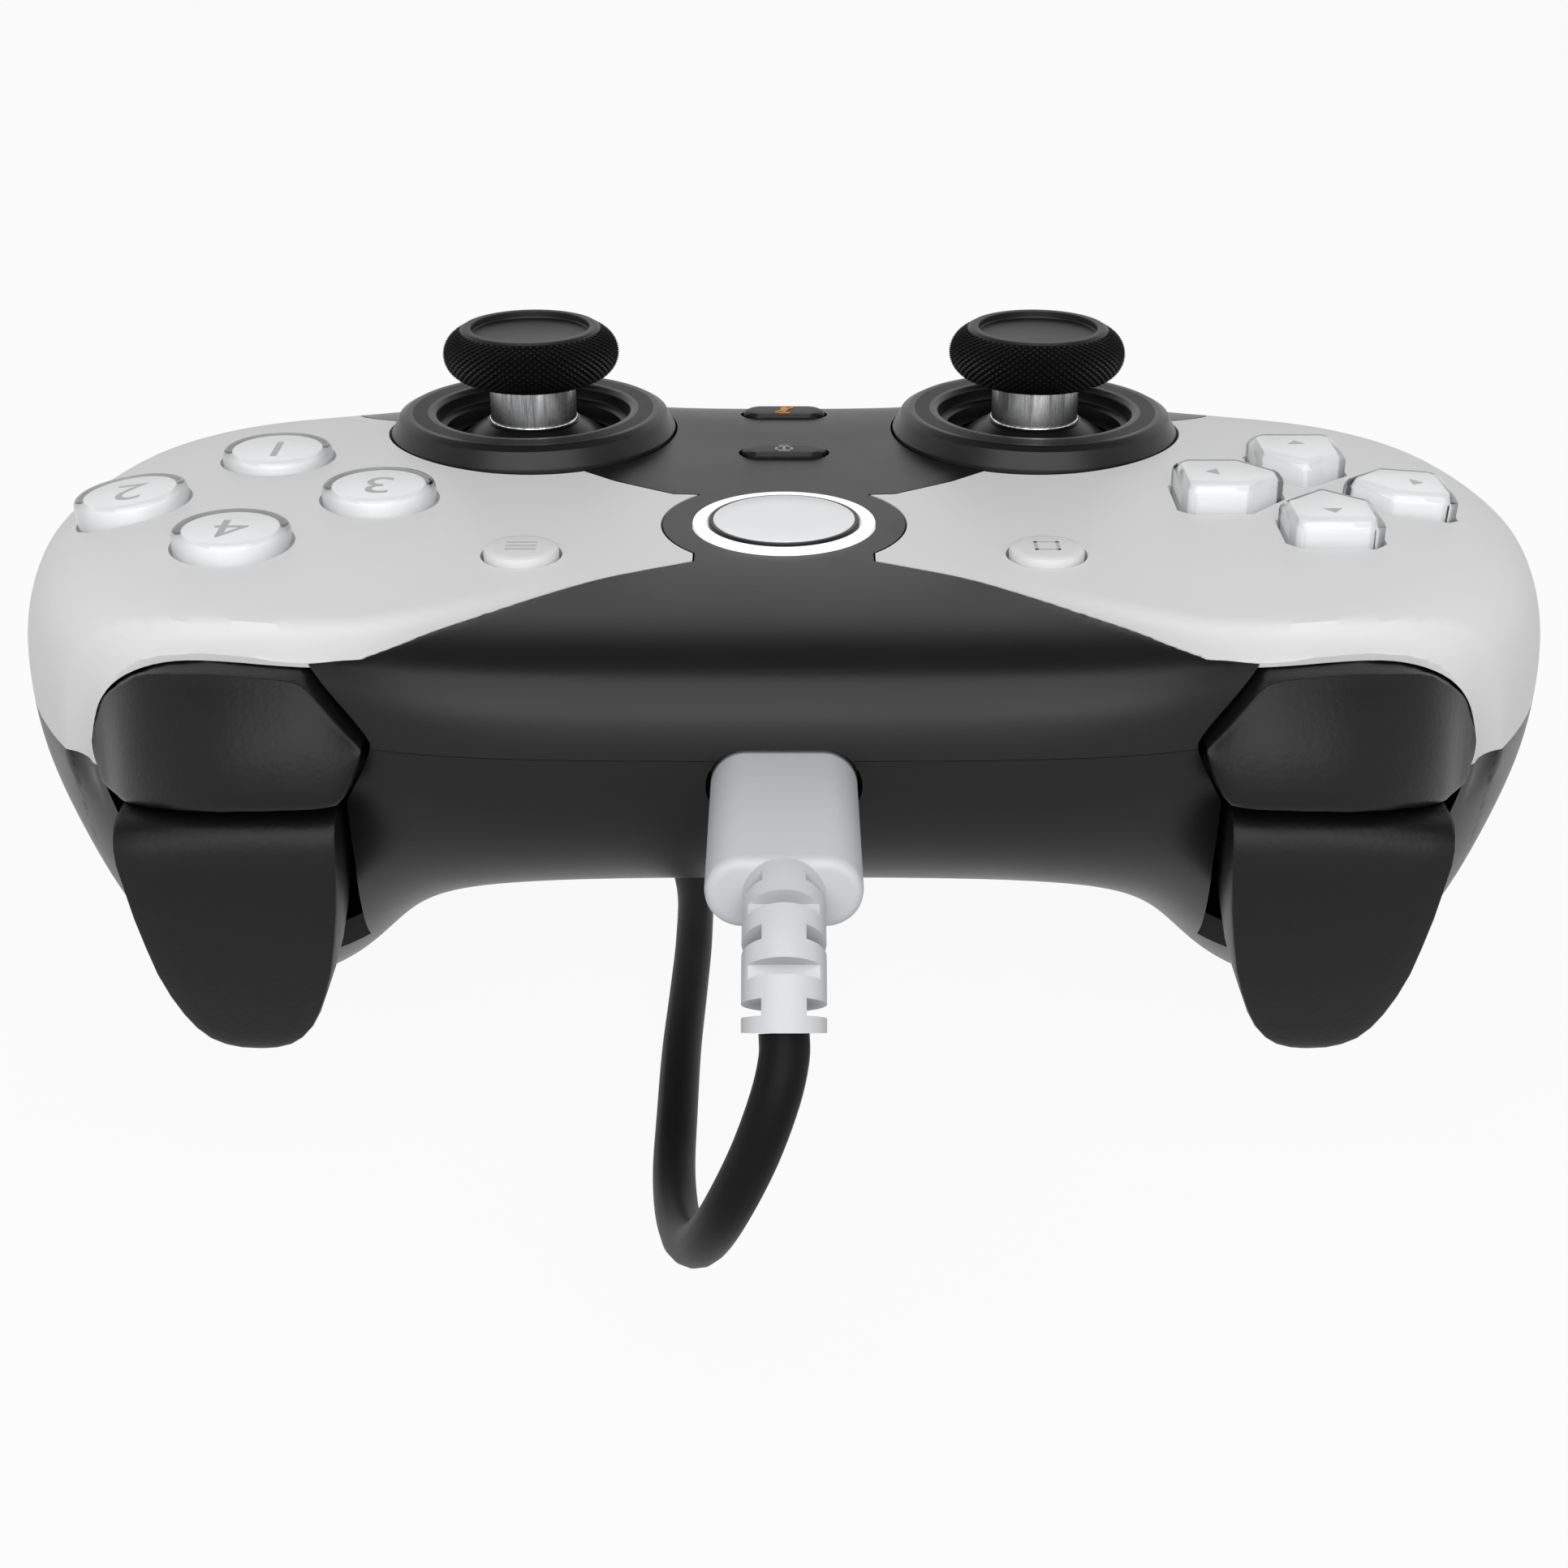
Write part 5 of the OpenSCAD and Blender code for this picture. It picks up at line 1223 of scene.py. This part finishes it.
class GAMEPAD_OT_direction_keys(bpy.types.Operator):
    """Models the four direction keys: clear caps with a wide rounded chamfer over white cores"""

    bl_idname = "gamepad.direction_keys"
    bl_label = "Direction Keys"

    def execute(self, context):
        outline = key_outline()
        arrow = [(2.5, 0), (1.2, 0.95), (1.2, -0.95)]
        levels = ((-4.2, 0.0), (-0.2, 0.0), (1.75, 0.0), (2.1, -0.12), (2.45, -0.42), (2.68, -0.8),
                  (2.78, -1.05), (2.8, -1.3))
        core_inset, core_low, core_top, ink_top, soft_edge = 1.0, -4.0, 2.2, 2.22, 0.0002
        core_outline = grown(outline, -core_inset)
        for i, name in enumerate(("up", "down", "left", "right")):
            place = key_place(i)
            rings = [[(x, y, z) for x, y in grown(outline, by)] for z, by in levels]
            cap = moved(loft(f"{name}_clear_key", rings), place)
            finish_piece(smooth(cap, 40), clear_acrylic, "clear_plastic", f"{name}_pad", f"{name}_key")
            core = moved(plate(f"{name}_key_core", core_outline, core_low, core_top), place)
            modify(core, "BEVEL", width=soft_edge, segments=2, limit_method="ANGLE")
            finish_piece(smooth(core, 30), white_plastic, "white_plastic", f"{name}_pad")
            mark = moved(plate(f"{name}_arrow", arrow, core_top, ink_top), place)
            finish_piece(mark, grey_print, "grey_plastic", f"{name}_pad")
        return {"FINISHED"}


class GAMEPAD_OT_centre_buttons(bpy.types.Operator):
    """Models the home button with its light ring, the two round buttons and the two pill buttons"""

    bl_idname = "gamepad.centre_buttons"
    bl_label = "Centre Buttons"

    def execute(self, context):
        x, y = HOME_AT
        ring_profile = [(7.6, -3.5), (10.2, -3.5), (10.2, -2.0), (9, -2.0), (9, 0.4), (8.92, 0.57),
                        (8.75, 0.65), (7.85, 0.65), (7.65, 0.58), (7.6, 0.4)]
        home_profile = [(0, -9.2), (1.5, -9.2), (1.5, -5), (8.2, -5), (8.2, -3.95), (7.0, -3.95),
                        (7.0, 0.7), (6.95, 0.84), (6.8, 0.92), (4, 0.96), (0, 0.98)]
        # Black ring in the narrow gap between the disc and the light ring: painted shade of that gap
        gap_shade_ring_profile = [(6.9, -3.8), (7.42, -3.8), (7.42, 0.72), (7.34, 0.8), (7.02, 0.8)]
        disc_profile = [(0, -9.2), (1.5, -9.2), (1.5, -3.4), (4.5, -3.4), (4.5, -2.4), (3.6, -2.4),
                        (3.6, 0.6), (3.5, 0.85), (3.25, 1.0), (2.8, 1.06), (0, 1.12)]
        # Height of each ring of a pill button, how far it is wider than the top, and its depth
        levels = ((-3.1, 0.9, 3.6), (-2.1, 0.9, 3.6), (-2.1, 0, 3.6), (0.7, 0, 3.6), (0.95, -0.12, 3.5),
                  (1.08, -0.4, 3.3), (1.12, -0.9, 2.8), (1.14, -1.6, 2.0))
        pill_width = 9
        ring = lathe("home_light_ring", ring_profile, x, y, FACE, 96)
        finish_piece(smooth(ring, 30), light_guide, "light_guide", "shell", "light_ring")
        home = lathe("home_disc", home_profile, x, y, FACE, 96)
        finish_piece(smooth(home, 30), white_plastic, "white_plastic", "home", "home_button")
        # The black ring round the disc paints the shade of the gap between disc and light ring
        rim = lathe("home_gap_shade_ring", gap_shade_ring_profile, x, y, FACE, 96)
        finish_piece(smooth(rim, 30), black_abs, "black_trim", "home")
        for name, side in (("view", 1), ("menu", -1)):
            button = lathe(f"{name}_disc", disc_profile, side * MENU_AT[0], MENU_AT[1], FACE, 72)
            finish_piece(smooth(button, 30), pale_abs, "pale_shell", name, f"{name}_button")
        self.round_marks()
        for name, y in (("share", SHARE_Y), ("mute", MUTE_Y)):
            rings = [[(px, y + py, FACE + z) for px, py in pill(pill_width + 2 * grow, depth, 48)]
                     for z, grow, depth in levels]
            button = loft(f"{name}_pill", rings)
            finish_piece(smooth(button, 30), leather_grain_abs, "black_trim", name, f"{name}_button")
        self.pill_marks()
        return {"FINISHED"}

    def mark(self, name, make, body, x, y, top, bars):
        """Joins thin flat bars into one mark: width, depth, place in plan, lift and turn of each."""
        pieces = []
        for width, depth, dx, dy, lift, turn in bars:
            place = Matrix.Translation(at(x + dx, y + dy, top + lift))
            bar = plate("bar", pill(width, depth, 16), 0, 0.05)
            pieces.append(moved(bar, place @ Matrix.Rotation(math.radians(turn), 4, "Z")))
        finish_piece(joined(name, *pieces), make, "grey_plastic", body)

    def round_marks(self):
        """Three bars on the menu button, an open square on the view button."""
        x, y = MENU_AT
        top = FACE + 1.07
        gap, half = 0.95, 1.05
        # The menu and view marks are flat grey bars: painted shade of engraved grooves, not ink
        lines = [(3.0, 0.42, 0, gap * k, 0, 0) for k in (-1, 0, 1)]
        self.mark("menu_bars", painted_engraving_shade, "menu", -x, y, top, lines)
        square = [(2.5, 0.36, 0, half * k, 0, 0) for k in (-1, 1)]
        square += [(2.5, 0.36, half * k, 0, 0, 90) for k in (-1, 1)]
        self.mark("view_square", painted_engraving_shade, "view", x, y, top, square)

    def pill_marks(self):
        """Tray with an arrow on the share button, crossed microphone on the mute button."""
        top = FACE + 1.12
        tray = ((1.9, 0.3, 0, -0.75, 0, 0), (1.2, 0.3, -0.8, -0.3, 0, 90), (1.2, 0.3, 0.8, -0.3, 0, 90),
                (1.5, 0.3, 0, 0.3, 0, 90), (0.9, 0.3, -0.28, 0.8, 0, 45), (0.9, 0.3, 0.28, 0.8, 0, -45))
        self.mark("share_mark", grey_print, "share", 0, SHARE_Y, top, tray)
        mic = ((1.5, 0.75, 0, 0.3, 0, 90), (0.7, 0.28, 0, -0.8, 0, 90), (1.3, 0.28, 0, -1.1, 0, 0),
               (2.9, 0.28, 0, 0, 0.02, 45))
        self.mark("mute_mark", amber_print, "mute", 0, MUTE_Y, top, mic)


class GAMEPAD_OT_plug(bpy.types.Operator):
    """Models the plug: overmoulded body and a strain relief slotted in turn from the sides and the front"""

    bl_idname = "gamepad.plug"
    bl_label = "Plug"

    def execute(self, context):
        body = self.body()
        relief = self.relief()
        finish_piece(body, overmould, "pale_overmould", "shell", "cable_plug")
        finish_piece(relief, overmould, "pale_overmould", "shell")
        return {"FINISHED"}

    def body(self):
        """Bar with round ends whose outer edge is softly rounded."""
        width, height = 12.9, 6.3
        levels = ((-49, -0.25), (-49.2, -0.08), (-49.5, 0), (-71.9, 0), (-72.4, -0.06), (-72.75, -0.25),
                  (-72.95, -0.55), (PLUG_END, -0.9))
        rings = [[(x, y, PLUG_Z + z) for x, z in pill(width + 2 * grow, height + 2 * grow, 64)]
                 for y, grow in levels]
        return smooth(loft("plug_overmould", rings), 35)

    def relief(self):
        """Bent column: full discs between webs that are left by side slots and front slots."""
        bend, radius, web = 12.6, 3.35, 1.75
        centre_z = PLUG_Z - bend
        # Angle along the bend where each stretch ends, and what is cut away in it
        stretches = ((4, "full"), (9, "sides"), (15.5, "full"), (20.5, "front"), (27, "full"),
                     (32, "sides"), (38.5, "full"), (43.5, "front"), (50, "full"), (55, "sides"),
                     (60, "full"))
        rings = []
        start = 0.0
        for end, kind in stretches:
            for angle in (start, end):
                a = math.radians(angle)
                ring = []
                for u, v in circle(radius, 64):
                    if kind == "sides":
                        u = min(max(u, -web), web)
                    if kind == "front":
                        v = min(max(v, -web), web)
                    reach = bend + v
                    ring.append((u, PLUG_END - reach * math.sin(a), centre_z + reach * math.cos(a)))
                rings.append(ring)
            start = end
        return smooth(loft("strain_relief", rings), 35)


class GAMEPAD_OT_inner_pieces(bpy.types.Operator):
    """Gives the carried-over inner pieces their finishes"""

    bl_idname = "gamepad.inner_pieces"
    bl_label = "Inner Pieces"

    def execute(self, context):
        makers = {
            "main_board": board_laminate, "button_boards": board_laminate, "button_domes": silicone,
            "shell_screws": brushed_steel, "trigger_pins": brushed_steel, "trigger_springs": brushed_steel,
            "rumble_motors": brushed_steel, "usb_socket": brushed_steel, "plug_tongue": brushed_steel,
            "left_weight": brushed_steel, "right_weight": brushed_steel, "headset_jack": black_abs,
            "trigger_brackets": black_abs,
        }
        for name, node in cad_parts.items():
            if node.hide_render:
                continue
            node.data.materials.clear()
            node.data.materials.append(finish(makers.get(name, grey_nylon)))
        return {"FINISHED"}


class GAMEPAD_OT_stage(bpy.types.Operator):
    """Sets the pale floor, the soft lamps and the white surround"""

    bl_idname = "gamepad.stage"
    bl_label = "Stage"

    def execute(self, context):
        stage = context.scene.gamepad_stage
        context.scene.view_settings.view_transform = "Standard"
        begin()
        floor_size, floor_z = 6, -0.0003
        bpy.ops.mesh.primitive_plane_add(size=floor_size, location=(0, 0, floor_z))
        floor = named("floor")
        floor.data.materials.append(self.floor_paper())
        self.lamp("overhead_lamp", (0.0, -0.5, 0.62), 0.9, stage.key_power)
        self.lamp("front_lamp", (0.0, -1.0, 0.2), 0.6, stage.fill_power)
        self.surround(context)
        return {"FINISHED"}

    def lamp(self, name, place, size, power):
        """Soft square lamp that looks at the middle of the pad."""
        begin()
        middle = Vector((0, 0, 0.04))
        aim = (middle - Vector(place)).to_track_quat("-Z", "Y").to_euler()
        bpy.ops.object.light_add(type="AREA", location=place, rotation=aim)
        lamp = bpy.context.object
        lamp.name = name
        lamp.data.size = size
        lamp.data.energy = power

    def floor_paper(self):
        # White paper sweep: white to the camera and in reflections, and it still takes the pad's shadow
        material, tree, shader, coords = shader_of(
            "white_paper", {"Base Color": linear("#C8C8C8"), "Roughness": 0.9})
        white_share = 0.94
        grain(tree, shader, coords, 0.6, 0.01)
        ray = add(tree, "ShaderNodeLightPath")
        seen = combined(tree, "MAXIMUM", ray.outputs["Is Camera Ray"], ray.outputs["Is Glossy Ray"])
        seen = combined(tree, "MAXIMUM", seen, ray.outputs["Is Transmission Ray"])
        share = combined(tree, "MULTIPLY", seen, white_share)
        white = add(tree, "ShaderNodeEmission", None, {"Color": (1, 1, 1, 1), "Strength": 1.0})
        show_mix(tree, share, shader.outputs[0], white.outputs[0])
        return material

    def surround(self, context):
        """World: white to the camera and in level reflections, darker above, and dim as a lamp."""
        world = bpy.data.worlds.new("white_studio")
        context.scene.world = world
        world.use_nodes = True
        tree = world.node_tree
        back = tree.nodes["Background"]
        coords = add(tree, "ShaderNodeTexCoord").outputs["Generated"]
        height = add(tree, "ShaderNodeSeparateXYZ", None, {"Vector": coords})
        white_up_to, dark_from, dark_level, lamp_share = 0.5, 0.72, 0.14, 0.42
        fall = ranged(tree, height.outputs["Z"], white_up_to, dark_from, 1.0, dark_level, "SMOOTHSTEP")
        dim = combined(tree, "MULTIPLY", fall, lamp_share)
        ray = add(tree, "ShaderNodeLightPath")
        mirrored_level = mix_values(tree, ray.outputs["Is Glossy Ray"], dim, fall)
        seen = combined(tree, "MAXIMUM", ray.outputs["Is Camera Ray"], ray.outputs["Is Transmission Ray"])
        level = mix_values(tree, seen, mirrored_level, 1.0)
        back.inputs["Color"].default_value = (1, 1, 1, 1)
        tree.links.new(level, back.inputs["Strength"])


class GAMEPAD_PT_panel(bpy.types.Panel):
    """Lists the pieces of the gamepad"""

    bl_label = "Wired Gamepad"
    bl_idname = "GAMEPAD_PT_panel"
    bl_space_type = "VIEW_3D"
    bl_region_type = "UI"
    bl_category = "Gamepad"

    def draw(self, context):
        for operator in STEPS:
            self.layout.operator(operator.bl_idname)
        for group in (context.scene.gamepad_sizes, context.scene.gamepad_colours,
                      context.scene.gamepad_stage):
            for name in group.__annotations__:
                self.layout.prop(group, name)


STEPS = (GAMEPAD_OT_camera, GAMEPAD_OT_cable, GAMEPAD_OT_shells, GAMEPAD_OT_bumpers, GAMEPAD_OT_triggers,
         GAMEPAD_OT_sticks, GAMEPAD_OT_face_buttons, GAMEPAD_OT_direction_keys, GAMEPAD_OT_centre_buttons,
         GAMEPAD_OT_plug, GAMEPAD_OT_inner_pieces, GAMEPAD_OT_stage)
GROUPS = (GamepadSizes, GamepadColours, GamepadStage)


def register():
    for group in GROUPS:
        bpy.utils.register_class(group)
    for step in (*STEPS, GAMEPAD_PT_panel):
        bpy.utils.register_class(step)
    bpy.types.Scene.gamepad_sizes = PointerProperty(type=GamepadSizes)
    bpy.types.Scene.gamepad_colours = PointerProperty(type=GamepadColours)
    bpy.types.Scene.gamepad_stage = PointerProperty(type=GamepadStage)


def unregister():
    del bpy.types.Scene.gamepad_stage
    del bpy.types.Scene.gamepad_colours
    del bpy.types.Scene.gamepad_sizes
    for step in reversed((*STEPS, GAMEPAD_PT_panel)):
        bpy.utils.unregister_class(step)
    for group in reversed(GROUPS):
        bpy.utils.unregister_class(group)


def main():
    register()
    bpy.ops.gamepad.camera()
    bpy.ops.gamepad.cable()
    bpy.ops.gamepad.shells()
    bpy.ops.gamepad.bumpers()
    bpy.ops.gamepad.triggers()
    bpy.ops.gamepad.sticks()
    bpy.ops.gamepad.face_buttons()
    bpy.ops.gamepad.direction_keys()
    bpy.ops.gamepad.centre_buttons()
    bpy.ops.gamepad.plug()
    bpy.ops.gamepad.inner_pieces()
    bpy.ops.gamepad.stage()


if __name__ == "__main__":
    main()
